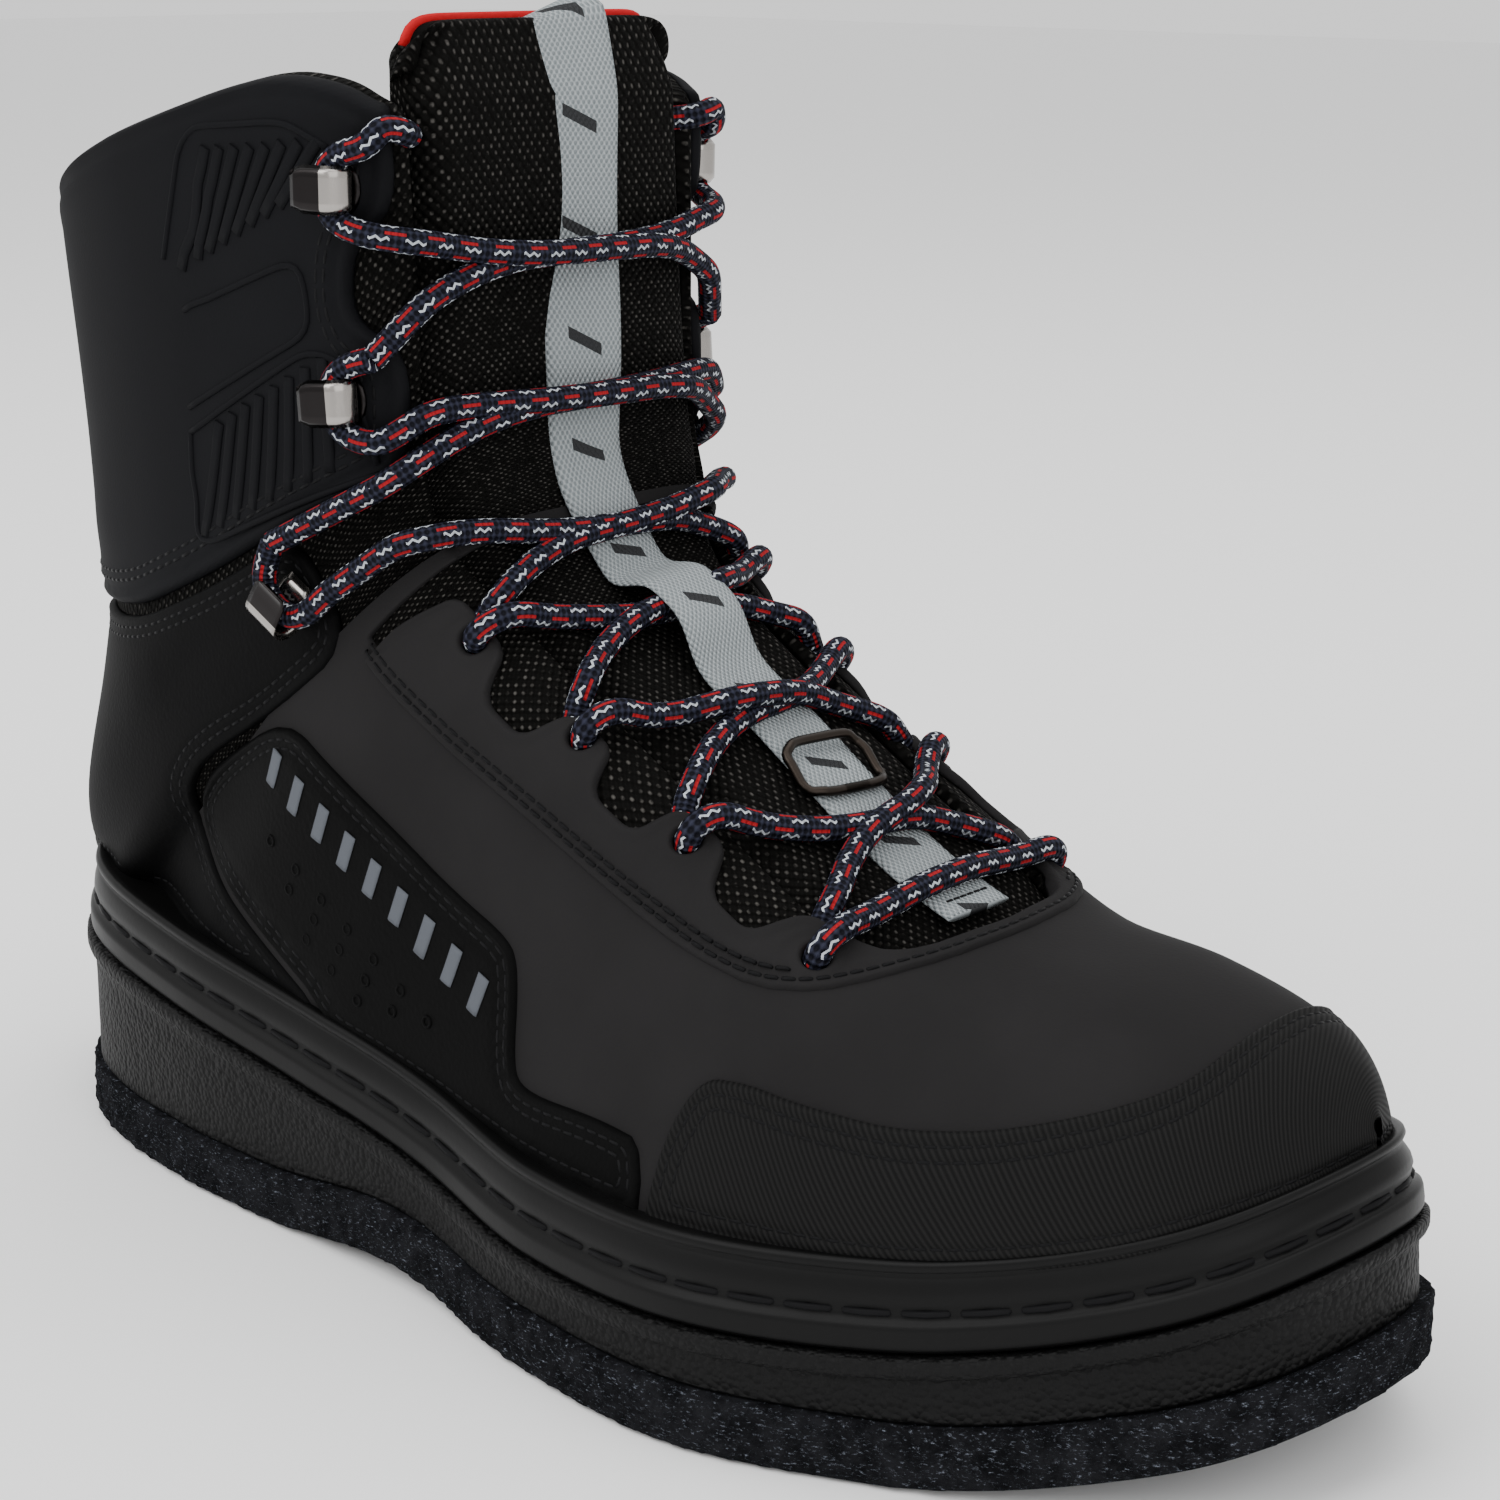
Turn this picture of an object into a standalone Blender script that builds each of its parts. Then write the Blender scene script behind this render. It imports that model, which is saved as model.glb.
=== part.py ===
"""Wading boot for the right foot: felt sole, welted rubber foxing and a laced hollow upper.

Metres, +Z up. The toe points to +X and the inner side of the foot is at +Y. The floor is z = 0 and
the origin lies on it under the middle of the heel.
"""

import math

import bmesh
import bpy
import numpy as np
from mathutils import Matrix, Vector

# Overall sizes
LENGTH = 0.312
BALL_WIDTH = 0.120
COLLAR_HEIGHT = 0.218
HEEL_REST = 0.045

# Sole
FELT_THICKNESS = 0.0108
FELT_BEVEL = 0.0012
TOE_SPRING = 0.017
ARCH_RISE = 0.003
HEEL_BEVEL = 0.002
MIDSOLE_INSET = 0.0016
RIDGE_HEIGHT = 0.003
BAND_HEIGHT = 0.016
BAND_LEAN = 0.0032
BAND_INSET = 0.0010
TOE_LEAN = 0.0035
TOE_START = 0.86
STITCH_GROOVE = 0.0012
BEAD = 0.0014
INSOLE_THICKNESS = 0.0035

# Upper
WALL = 0.0025
COLLAR_PAD = 0.0035
COLLAR_PAD_ROWS = 1.6
OVERLAY_THICKNESS = 0.0012
GAP = 0.0003
LAST_TUCK = 0.006
TONGUE_THICKNESS = 0.005
TONGUE_AROUND = 0.30
TONGUE_FROM = 3.5
TONGUE_TO = 15.45
TONGUE_FREE = 15.25
TONGUE_UP = 4.6
TONGUE_SINK = 0.0006
TONGUE_TAPER = 0.65
TONGUE_LEAN = 0.003
THROAT_OUT = 0.025
THROAT_IN = 0.014
STAY_BELOW = 0.0016
STAY_ABOVE = 0.0032
EYELET_RADIUS = 0.0026

# Strap, ring, hooks and lace
STRAP_WIDTH = 0.015
STRAP_THICKNESS = 0.0014
STRAP_RISE = 0.0015
STRAP_BEHIND = 3
STRAP_FROM = 4.5
KEEPER_PLACE = 6.1
KEEPER_WIDTH = 0.0195
KEEPER_LENGTH = 0.012
KEEPER_BAR = 0.0018
HOOK_CLEAR = 0.0003
HOOK_WIDTH = 0.008
HOOK_LENGTH = 0.010
HOOK_HEIGHT = 0.0078
HOOK_PLATE = 0.0010
LACE_RADIUS = 0.0023
LACE_LIFT = 0.0041
LACE_SHORT = 0.095
LACE_RISE = 0.24
LACE_FALL = 0.12
LACE_END = 0.03

# Numbers of steps that the loops take
SOLE_STATIONS = 26
WHOLE_ROWS_FROM = 11
AROUND = 22
LACE_STEPS = 5
STAY_STEPS = 22
TONGUE_STEPS = 5
EYELET_SIDES = 6

# Outline of the felt in plan: place along the length, half widths as shares of the ball width
OUTLINE = [
    # along, lateral, medial
    (0.000, 0.000, 0.000),
    (0.026, 0.143, 0.158),
    (0.096, 0.319, 0.308),
    (0.224, 0.412, 0.353),
    (0.353, 0.432, 0.316),
    (0.465, 0.452, 0.296),
    (0.577, 0.522, 0.366),
    (0.689, 0.542, 0.461),
    (0.801, 0.444, 0.491),
    (0.897, 0.322, 0.411),
    (0.962, 0.214, 0.282),
    (1.000, -0.069, 0.069),
]

# Top of the midsole, where the foot of the upper stands: height as a share of the collar height
SEAT = [
    # along, height
    (0.000, 0.188),
    (0.192, 0.170),
    (0.385, 0.133),
    (0.545, 0.099),
    (0.689, 0.099),
    (0.833, 0.112),
    (0.920, 0.145),
    (1.000, 0.199),
]

# The last, ring by ring from the toe to above the collar. Each ring runs from a point under or behind
# the foot to a point on the front ridge. Along and ridge_x are shares of the length, rise and ridge_z
# of the collar height, widths of the ball width. rise is counted from the seat on the sole rings.
RING_COLUMNS = (
    "along", "rise", "ridge_x", "ridge_z", "low_lateral", "low_medial",
    "high_lateral", "high_medial", "centre", "belly", "low_round", "top_round",
)
RINGS = [
    # along rise ridge_x ridge_z low_lat low_med high_lat high_med centre belly low_round top_round
    (0.970, 0.00, 0.966, 0.268, -0.069, 0.069, -0.069, 0.069, 0.069, 0.45, 3.0, 2.4),
    (0.957, 0.00, 0.948, 0.300, 0.130, 0.205, 0.100, 0.175, 0.065, 0.45, 3.6, 2.3),
    (0.917, 0.00, 0.906, 0.328, 0.247, 0.320, 0.220, 0.285, 0.055, 0.45, 4.5, 2.3),
    (0.840, 0.00, 0.836, 0.343, 0.362, 0.422, 0.335, 0.375, 0.040, 0.45, 5.0, 2.4),
    (0.756, 0.00, 0.760, 0.354, 0.450, 0.440, 0.400, 0.390, 0.020, 0.45, 5.5, 2.6),
    (0.667, 0.00, 0.698, 0.388, 0.498, 0.400, 0.415, 0.385, 0.010, 0.45, 6.0, 3.2),
    (0.564, 0.00, 0.632, 0.442, 0.475, 0.317, 0.390, 0.360, 0.000, 0.45, 6.0, 3.8),
    (0.442, 0.00, 0.560, 0.504, 0.408, 0.262, 0.375, 0.355, 0.000, 0.45, 6.0, 4.2),
    (0.314, 0.00, 0.503, 0.557, 0.385, 0.287, 0.372, 0.360, 0.000, 0.45, 6.0, 4.4),
    (0.186, 0.00, 0.472, 0.598, 0.352, 0.308, 0.370, 0.362, 0.000, 0.46, 5.5, 4.6),
    (0.085, 0.00, 0.456, 0.638, 0.258, 0.248, 0.368, 0.364, 0.000, 0.48, 4.5, 4.8),
    (0.036, 0.00, 0.449, 0.676, 0.318, 0.312, 0.368, 0.364, 0.000, 0.50, 2.3, 5.0),
    (0.014, 0.09, 0.443, 0.718, 0.318, 0.312, 0.370, 0.367, 0.000, 0.50, 2.2, 5.0),
    (0.039, 0.27, 0.437, 0.789, 0.312, 0.308, 0.360, 0.357, 0.000, 0.52, 2.1, 5.6),
    (0.037, 0.45, 0.432, 0.872, 0.325, 0.322, 0.358, 0.356, 0.000, 0.55, 2.1, 6.2),
    (0.019, 0.66, 0.428, 0.980, 0.335, 0.335, 0.358, 0.358, 0.000, 0.58, 2.1, 6.8),
    (0.004, 0.84, 0.424, 1.120, 0.340, 0.340, 0.360, 0.360, 0.000, 0.60, 2.1, 7.0),
]

# Edge of the throat: place on the last and distance around it from the ridge
THROAT = [
    # place, around
    (4.20, 0.010), (4.25, 0.060), (4.40, 0.110), (4.70, 0.128), (5.50, 0.125), (7.00, 0.122),
    (8.50, 0.135), (9.50, 0.165), (10.50, 0.200), (12.00, 0.210), (13.50, 0.200), (15.00, 0.190),
    (16.00, 0.190),
]

# Top line of the collar in side view: shares of the length and of the collar height
COLLAR_LINE = [
    (-0.200, 0.800), (-0.030, 0.828), (0.000, 0.840), (0.038, 0.868), (0.080, 0.899), (0.160, 0.936),
    (0.234, 0.965), (0.288, 0.986), (0.340, 1.000), (0.385, 0.994), (0.413, 0.975), (0.520, 0.930),
]

# Outlines of the panels in side view: shares of the length and of the collar height
SHAFT_EDGE = [
    (-0.200, 0.480), (0.016, 0.494), (0.160, 0.512), (0.253, 0.567), (0.330, 0.624), (0.388, 0.664),
    (0.418, 0.690), (0.418, 0.784), (0.388, 0.808), (0.390, 0.862), (0.414, 0.894), (0.411, 0.985),
    (0.404, 1.200), (-0.200, 1.200),
]
COUNTER_EDGE = [
    (-0.200, 0.470), (0.016, 0.484), (0.162, 0.502), (0.256, 0.557), (0.333, 0.614), (0.353, 0.609),
    (0.386, 0.535), (0.322, 0.468), (0.244, 0.404), (0.216, 0.358), (0.220, 0.312), (0.290, 0.262),
    (0.372, 0.200), (0.400, 0.050), (-0.200, 0.050),
]
RAND_EDGE = [
    (0.326, 0.462), (0.250, 0.400), (0.222, 0.358), (0.226, 0.316), (0.294, 0.268), (0.378, 0.204),
    (0.406, 0.050), (0.651, 0.050), (0.651, 0.214), (0.608, 0.218), (0.548, 0.214), (0.534, 0.226),
    (0.530, 0.306), (0.522, 0.328), (0.476, 0.354), (0.430, 0.388), (0.378, 0.424),
]
TOE_CAP_EDGE = [
    (0.656, 0.050), (0.656, 0.208), (0.676, 0.276), (0.705, 0.280), (0.734, 0.273), (0.785, 0.266),
    (0.833, 0.274), (0.875, 0.290), (0.903, 0.306), (0.912, 0.330), (0.910, 0.450), (1.100, 0.450),
    (1.100, 0.050),
]

# Lace stays: outer seam and valleys of the scalloped edge, by place on the last
EYESTAY = [
    # place, valley, seam
    (4.35, 0.145, 0.160), (4.60, 0.195, 0.240), (5.00, 0.225, 0.295), (5.60, 0.245, 0.335),
    (6.40, 0.262, 0.362), (7.20, 0.280, 0.375), (8.20, 0.290, 0.382), (9.45, 0.300, 0.390),
]
EYESTAY_LOBE = 0.085
EYELETS = [
    # place, around
    (4.80, 0.195), (6.10, 0.200), (7.15, 0.205), (8.60, 0.230),
]
HOOKS = [
    # name, place, around, degrees that the heel end of the hook points downwards
    ("hook_ankle", 11.40, 0.440, 35),
    ("hook_mid", 13.00, 0.365, 8),
    ("hook_top", 14.60, 0.375, 0),
]


def hermite(xs, ys, at):
    """Smooth curve through the points, whose slope at a point follows its neighbours."""
    xs = np.asarray(xs, float)
    ys = np.asarray(ys, float)
    slopes = np.gradient(ys, xs)
    k = int(np.clip(np.searchsorted(xs, at) - 1, 0, len(xs) - 2))
    span = xs[k + 1] - xs[k]
    t = (at - xs[k]) / span
    return (
        (2 * t**3 - 3 * t**2 + 1) * ys[k]
        + (t**3 - 2 * t**2 + t) * span * slopes[k]
        + (-2 * t**3 + 3 * t**2) * ys[k + 1]
        + (t**3 - t**2) * span * slopes[k + 1]
    )


def turn_of(along):
    """Place on a half circle over the length, so that round ends stay round between stations."""
    return math.acos(1 - 2 * min(max(along, 0.0), 1.0)) / math.pi


def smooth_step(t):
    t = min(max(t, 0.0), 1.0)
    return t * t * (3 - 2 * t)


def half_width(along, side):
    """Half width of the felt at a place along the length: side 1 is lateral, 2 is medial."""
    turns = [turn_of(row[0]) for row in OUTLINE]
    return BALL_WIDTH * hermite(turns, [row[side] for row in OUTLINE], turn_of(along))


def seat_height(x):
    """Height of the midsole's top edge above the floor."""
    x = min(max(x, 0.0), LENGTH)
    return COLLAR_HEIGHT * hermite([row[0] for row in SEAT], [row[1] for row in SEAT], x / LENGTH)


def ground_height(x):
    """Underside of the felt: heel and forefoot on the floor, with arch, toe spring and heel bevel."""
    along = min(max(x / LENGTH, 0.0), 1.0)
    toe = max(0.0, (along - 0.79) / 0.21)
    heel = max(0.0, (0.045 - along) / 0.045)
    arch = 0.0
    if 0.31 < along < 0.54:
        arch = math.sin(math.pi * (along - 0.31) / 0.23) ** 2
    return TOE_SPRING * toe**1.8 + HEEL_BEVEL * heel**2 + ARCH_RISE * arch


def plan_outline(inset, toe_inset=0.0):
    """Closed outline of the sole in plan, moved inwards, as lateral and medial points per station.
    The toe can move inwards further."""
    stations = [(1 - math.cos(math.pi * k / SOLE_STATIONS)) / 2 for k in range(SOLE_STATIONS + 1)]
    loop = [Vector((LENGTH * a, -half_width(a, 1))) for a in stations]
    loop += [Vector((LENGTH * a, half_width(a, 2))) for a in reversed(stations[1:-1])]
    moved = []
    for k, point in enumerate(loop):
        along = (loop[(k + 1) % len(loop)] - loop[k - 1]).normalized()
        more = toe_inset * smooth_step((point.x / LENGTH - TOE_START) / (1 - TOE_START))
        moved.append(point + (inset + more) * Vector((-along.y, along.x)))
    return moved


def ring_values(place):
    """Columns of the last between its rows."""
    indices = range(len(RINGS))
    return {
        column: hermite(indices, [row[k] for row in RINGS], place)
        for k, column in enumerate(RING_COLUMNS)
    }


def last_point(place, around):
    """Point of the last's surface: around is 0 on the ridge, 1 under or behind the foot, 2 the ridge
    again, with the lateral side first."""
    ring = ring_values(place)
    foot_x = LENGTH * ring["along"]
    foot_z = COLLAR_HEIGHT * ring["rise"] + seat_height(foot_x) - LAST_TUCK
    lateral = around % 2 <= 1
    turn = around % 2 if lateral else 2 - around % 2
    angle = (0.5 - turn) * math.pi
    low = angle < 0
    power = 2 / (ring["low_round"] if low else ring["top_round"])
    width = max(math.cos(angle), 0.0) ** power
    reach = abs(math.sin(angle)) ** power
    climb = ring["belly"] * (1 - reach) if low else ring["belly"] + (1 - ring["belly"]) * reach
    side = "lateral" if lateral else "medial"
    share = smooth_step(climb / 0.8)
    half = ring["low_" + side] + (ring["high_" + side] - ring["low_" + side]) * share
    half = -half if lateral else half
    y = BALL_WIDTH * (ring["centre"] * (1 - width) + half * width)
    x = foot_x + (LENGTH * ring["ridge_x"] - foot_x) * climb
    z = foot_z + (COLLAR_HEIGHT * ring["ridge_z"] - foot_z) * climb
    return Vector((x, y, z))


def wall_at(place):
    """Thickness of the upper's wall: it swells into a soft roll near the collar."""
    collar = len(RINGS) - 2
    return WALL + COLLAR_PAD * smooth_step((place - collar + COLLAR_PAD_ROWS) / COLLAR_PAD_ROWS)


def form_places():
    """Places of a form's rings: half rows along the foot, whole rows up the shaft."""
    halves = [k / 2 for k in range(2 * len(RINGS) - 1)]
    return [place for place in halves if place < WHOLE_ROWS_FROM or place == int(place)]


def last_grid():
    """Points and outward normals of the last on its rings, from the toe up to above the collar."""
    points = np.array([
        [last_point(place, 2 * j / AROUND) for j in range(AROUND)] for place in form_places()
    ])
    along = np.gradient(points, axis=0)
    across = np.roll(points, -1, axis=1) - np.roll(points, 1, axis=1)
    normals = np.cross(along, across)
    normals[0] = (1, 0, 0)
    lengths = np.linalg.norm(normals, axis=2, keepdims=True)
    return points, normals / np.maximum(lengths, 1e-12)


def skin(bm, near, far):
    """Triangles between two closed rows of vertices, always split along the same diagonal."""
    count = len(near)
    for j in range(count):
        n = (j + 1) % count
        bm.faces.new((near[j], near[n], far[n]))
        bm.faces.new((near[j], far[n], far[j]))


def last_form(offset):
    """The last as a closed surface, moved outwards by offset, a length or a function of the place."""
    points, normals = last_grid()
    bm = bmesh.new()
    rows = []
    for place, ring, outward in zip(form_places(), points, normals):
        move = offset(place) if callable(offset) else offset
        rows.append([bm.verts.new(p + move * n) for p, n in zip(ring, outward)])
    for near, far in zip(rows, rows[1:]):
        skin(bm, near, far)
    bm.faces.new(rows[-1])
    bmesh.ops.remove_doubles(bm, verts=bm.verts, dist=0.0001)
    return bm


def surface_frame(place, around):
    """Point of the last with its outward normal and its direction towards higher places."""
    step = 0.02
    point = last_point(place, around)
    along = last_point(place + step, around) - last_point(place - step, around)
    across = last_point(place, around + step) - last_point(place, around - step)
    return point, along.cross(across).normalized(), along.normalized()


def frame_matrix(origin_point, right, up, outward):
    """Matrix that puts a piece's own axes along three directions of the boot."""
    axes = Matrix((right, up, outward)).transposed().to_4x4()
    return Matrix.Translation(origin_point) @ axes


def material(name, color, roughness, metallic=0.0):
    found = bpy.data.materials.new(name)
    found.use_nodes = True
    shader = found.node_tree.nodes["Principled BSDF"]
    shader.inputs["Base Color"].default_value = (*color, 1.0)
    shader.inputs["Roughness"].default_value = roughness
    shader.inputs["Metallic"].default_value = metallic
    found.diffuse_color = (*color, 1.0)
    return found


def place_mesh(name, bm, collection):
    """Turn a bmesh into a named object whose parent is the heel's origin."""
    bmesh.ops.recalc_face_normals(bm, faces=bm.faces)
    if bm.calc_volume(signed=True) < 0:
        bmesh.ops.reverse_faces(bm, faces=bm.faces)
    mesh = bpy.data.meshes.new(name)
    bm.to_mesh(mesh)
    bm.free()
    made = bpy.data.objects.new(name, mesh)
    collection.objects.link(made)
    made.parent = origin
    return made


def add_part(name, bm, finish):
    """Add a piece of the boot with its own material: finish is color, roughness and metallic."""
    part = place_mesh(name, bm, boot)
    part.data.shade_smooth()
    part.data.set_sharp_from_angle(angle=math.radians(40))
    part.data.materials.append(material(name, *finish))
    return part


def add_cutter(name, bm):
    cutter = place_mesh(name, bm, cutters)
    cutter.hide_render = True
    cutter.display_type = "WIRE"
    return cutter


def cut(part, operation, cutter):
    modifier = part.modifiers.new(cutter.name, "BOOLEAN")
    modifier.operation = operation
    modifier.object = cutter


def side_prism(outline, lateral=-0.5, medial=0.5):
    """Prism through the boot with an outline in side view, between two places across."""
    bm = bmesh.new()
    base = bm.faces.new([bm.verts.new((x, lateral, z)) for x, z in outline])
    grown = bmesh.ops.extrude_face_region(bm, geom=[base])["geom"]
    moved = [item for item in grown if isinstance(item, bmesh.types.BMVert)]
    bmesh.ops.translate(bm, verts=moved, vec=(0, medial - lateral, 0))
    return bm


def shares(table):
    return [(LENGTH * x, COLLAR_HEIGHT * z) for x, z in table]


def under_profile(height, depth=0.1, steps=40):
    """Outline in side view of all that lies below a height that changes along the boot."""
    margin = 0.1 * LENGTH
    xs = [-margin + (LENGTH + 2 * margin) * k / steps for k in range(steps + 1)]
    return [(x, height(x)) for x in xs] + [(xs[-1], -depth), (xs[0], -depth)]


def above_ground(extra):
    return lambda x: ground_height(x) + extra


def above_seat(extra):
    return lambda x: seat_height(x) + extra


def sole_solid(levels):
    """Layer with the sole's outline. Each level is an inset, what the toe is inset further, and a
    function that gives the height."""
    bm = bmesh.new()
    rows = [
        [bm.verts.new((p.x, p.y, height(p.x))) for p in plan_outline(inset, toe_inset)]
        for inset, toe_inset, height in levels
    ]
    count = len(rows[0])
    for low, high in zip(rows, rows[1:]):
        skin(bm, low, high)
    for row in (rows[0], rows[-1]):
        for k in range(SOLE_STATIONS):
            corners = (row[k], row[k + 1], row[(count - k - 1) % count], row[(count - k) % count])
            bm.faces.new(dict.fromkeys(corners))
    return bm


def make_sole():
    """Felt, midsole with its ridge, welt band with groove and bead, and the insole."""
    add_part("felt_outsole", sole_solid([
        (FELT_BEVEL, 0, above_ground(0)),
        (0, 0, above_ground(FELT_BEVEL)),
        (0, 0, above_ground(FELT_THICKNESS)),
    ]), FELT)
    add_part("midsole", sole_solid([
        (MIDSOLE_INSET, 0.3 * TOE_LEAN, above_ground(FELT_THICKNESS + GAP)),
        (MIDSOLE_INSET, 0.5 * TOE_LEAN, above_seat(-1.4 * RIDGE_HEIGHT)),
        (0, 0.5 * TOE_LEAN, above_seat(-RIDGE_HEIGHT)),
        (0, 0.5 * TOE_LEAN, above_seat(0)),
    ]), RUBBER)
    groove = 0.45 * BAND_HEIGHT
    band = add_part("welt_band", sole_solid([
        (BAND_INSET, 0.5 * TOE_LEAN, above_seat(GAP)),
        (BAND_INSET, 0.8 * TOE_LEAN, above_seat(groove - STITCH_GROOVE)),
        (BAND_INSET + STITCH_GROOVE, 0.85 * TOE_LEAN, above_seat(groove)),
        (BAND_INSET + 0.3 * BAND_LEAN, 0.9 * TOE_LEAN, above_seat(groove + STITCH_GROOVE)),
        (BAND_INSET + 0.6 * BAND_LEAN, 1.2 * TOE_LEAN, above_seat(BAND_HEIGHT - BEAD)),
        (BAND_INSET + BAND_LEAN, 1.2 * TOE_LEAN, above_seat(BAND_HEIGHT)),
    ]), RUBBER)
    cut(band, "DIFFERENCE", add_cutter("last_with_gap", last_form(GAP)))
    insole = add_part("insole", last_form(lambda place: -wall_at(place) - GAP), FOOTBED)
    top = under_profile(above_seat(GAP + INSOLE_THICKNESS))
    cut(insole, "INTERSECT", add_cutter("insole_top", side_prism(top)))
    cut(insole, "DIFFERENCE", bpy.data.objects["under_upper"])


def throat_solid():
    """Body that opens the throat: sections across it, which narrow to its round lower end."""
    bm = bmesh.new()
    rows = []
    for place, around in THROAT:
        ring = ring_values(place)
        ridge = last_point(place, 0)
        foot = last_point(place, 1)
        ahead = Vector((ridge.x - foot.x, 0, ridge.z - foot.z)).normalized()
        lateral = last_point(place, around)
        medial = last_point(place, -around)
        rows.append([bm.verts.new(p) for p in (
            lateral + THROAT_OUT * ahead, medial + THROAT_OUT * ahead,
            medial - THROAT_IN * ahead, lateral - THROAT_IN * ahead,
        )])
    for low, high in zip(rows, rows[1:]):
        skin(bm, low, high)
    bm.faces.new(rows[0])
    bm.faces.new(rows[-1])
    return bm


def eyelet_solid(side):
    """Pins that punch the eyelets of one side through the lace stay and the wall under it."""
    bm = bmesh.new()
    for place, around in EYELETS:
        point, outward, along = surface_frame(place, side * around)
        pin = frame_matrix(point, along.cross(outward), along, outward)
        bmesh.ops.create_cone(
            bm, cap_ends=True, segments=EYELET_SIDES, radius1=EYELET_RADIUS, radius2=EYELET_RADIUS,
            depth=4 * WALL, matrix=pin,
        )
    return bm


def make_upper():
    """Hollow upper, open at collar, throat and underneath."""
    upper = add_part("upper", last_form(0), LEATHER)
    cut(upper, "DIFFERENCE", add_cutter("cavity", last_form(lambda place: -wall_at(place))))
    for name in ("under_upper", "above_collar", "throat", "eyelets_lateral", "eyelets_medial"):
        cut(upper, "DIFFERENCE", bpy.data.objects[name])


def add_overlay(name, finish, cutter):
    """Panel between two forms of the last, inside a cutter and above the welt band."""
    panel = add_part(name, last_form(GAP + OVERLAY_THICKNESS), finish)
    cut(panel, "INTERSECT", cutter)
    for other in ("under_band", "above_collar", "throat", "last_with_gap"):
        cut(panel, "DIFFERENCE", bpy.data.objects[other])
    return panel


def eyestay_solid(side):
    """Body that cuts one lace stay from its shell: straight seam outside, a lobe at each eyelet inside."""
    bm = bmesh.new()
    places = [row[0] for row in EYESTAY]
    rows = []
    for k in range(STAY_STEPS + 1):
        place = places[0] + (places[-1] - places[0]) * k / STAY_STEPS
        valley = hermite(places, [row[1] for row in EYESTAY], place)
        seam = hermite(places, [row[2] for row in EYESTAY], place)
        near = min(abs(place - row[0]) for row in EYELETS)
        lobe = EYESTAY_LOBE * smooth_step(1.9 - 4.2 * near)
        row = []
        for share in (0, 0.5, 1):
            around = (valley - lobe) + (seam - valley + lobe) * share
            point, outward, _ = surface_frame(place, side * around)
            row.append((point - STAY_BELOW * outward, point + STAY_ABOVE * outward))
        rows.append([bm.verts.new(p) for p in (
            row[0][0], row[0][1], row[1][1], row[2][1], row[2][0], row[1][0],
        )])
    for low, high in zip(rows, rows[1:]):
        skin(bm, low, high)
    bm.faces.new(rows[0])
    bm.faces.new(rows[-1])
    return bm


def make_overlays():
    add_overlay("shaft_panel", MOULDED, add_cutter("shaft_outline", side_prism(shares(SHAFT_EDGE))))
    add_overlay("heel_counter", PANEL, add_cutter("counter_outline", side_prism(shares(COUNTER_EDGE))))
    add_overlay("toe_cap", PANEL, add_cutter("toe_outline", side_prism(shares(TOE_CAP_EDGE))))
    for side, low, high in (("lateral", -0.5, 0), ("medial", 0, 0.5)):
        rand = add_cutter("rand_outline_" + side, side_prism(shares(RAND_EDGE), low, high))
        add_overlay("side_rand_" + side, PANEL, rand)
        stay = add_cutter("stay_outline_" + side, eyestay_solid(1 if side == "lateral" else -1))
        panel = add_overlay("eyestay_" + side, PANEL, stay)
        cut(panel, "DIFFERENCE", bpy.data.objects["eyelets_" + side])


def throat_around(place):
    return hermite([row[0] for row in THROAT], [row[1] for row in THROAT], place)


def tongue_depths(place, around):
    """Depth of the tongue's outer and inner face below the last's surface."""
    low = wall_at(place) + GAP
    free = place > TONGUE_UP and abs(around) + 2 / AROUND < throat_around(place)
    outer = TONGUE_SINK if free else low
    above = smooth_step((place - TONGUE_FREE) / (TONGUE_TO - TONGUE_FREE))
    rise = (low - TONGUE_SINK) * above
    return min(outer, low - rise), low + TONGUE_THICKNESS - rise


def tongue_rows():
    """Rows of points, outward directions and distances around, up to the rounded top."""
    points, normals = last_grid()
    step = 2 / AROUND
    reach = int(TONGUE_AROUND / step)
    collar = len(RINGS) - 2
    rows = []
    for place, ring, outward in zip(form_places(), points, normals):
        if TONGUE_FROM <= place <= collar:
            rows.append((place, [
                (Vector(ring[j]), Vector(outward[j]), j * step) for j in range(-reach, reach + 1)
            ]))
    for k in range(1, TONGUE_STEPS + 1):
        share = k / TONGUE_STEPS
        place = collar + (TONGUE_TO - collar) * math.sin(0.5 * math.pi * share)
        narrow = 1 - TONGUE_TAPER * share**1.3
        row = []
        for j in range(-reach, reach + 1):
            point, outward, _ = surface_frame(place, j * step * narrow)
            point.x -= TONGUE_LEAN * (place - collar) / (TONGUE_TO - collar)
            row.append((point, outward, j * step * narrow))
        rows.append((place, row))
    return rows


def make_tongue():
    """Padded tongue under the throat's edges, raised between them and rounded above the collar."""
    bm = bmesh.new()
    loops = []
    for place, row in tongue_rows():
        outer = []
        inner = []
        for point, outward, around in row:
            near, deep = tongue_depths(place, around)
            outer.append(bm.verts.new(point - near * outward))
            inner.append(bm.verts.new(point - deep * outward))
        loops.append(outer + inner[::-1])
    count = len(loops[0])
    for low, high in zip(loops, loops[1:]):
        skin(bm, low, high)
    for loop in (loops[0], loops[-1]):
        for k in range(count // 2 - 1):
            bm.faces.new((loop[k], loop[k + 1], loop[count - k - 2], loop[count - k - 1]))
    add_part("tongue", bm, WEBBING)


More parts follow.
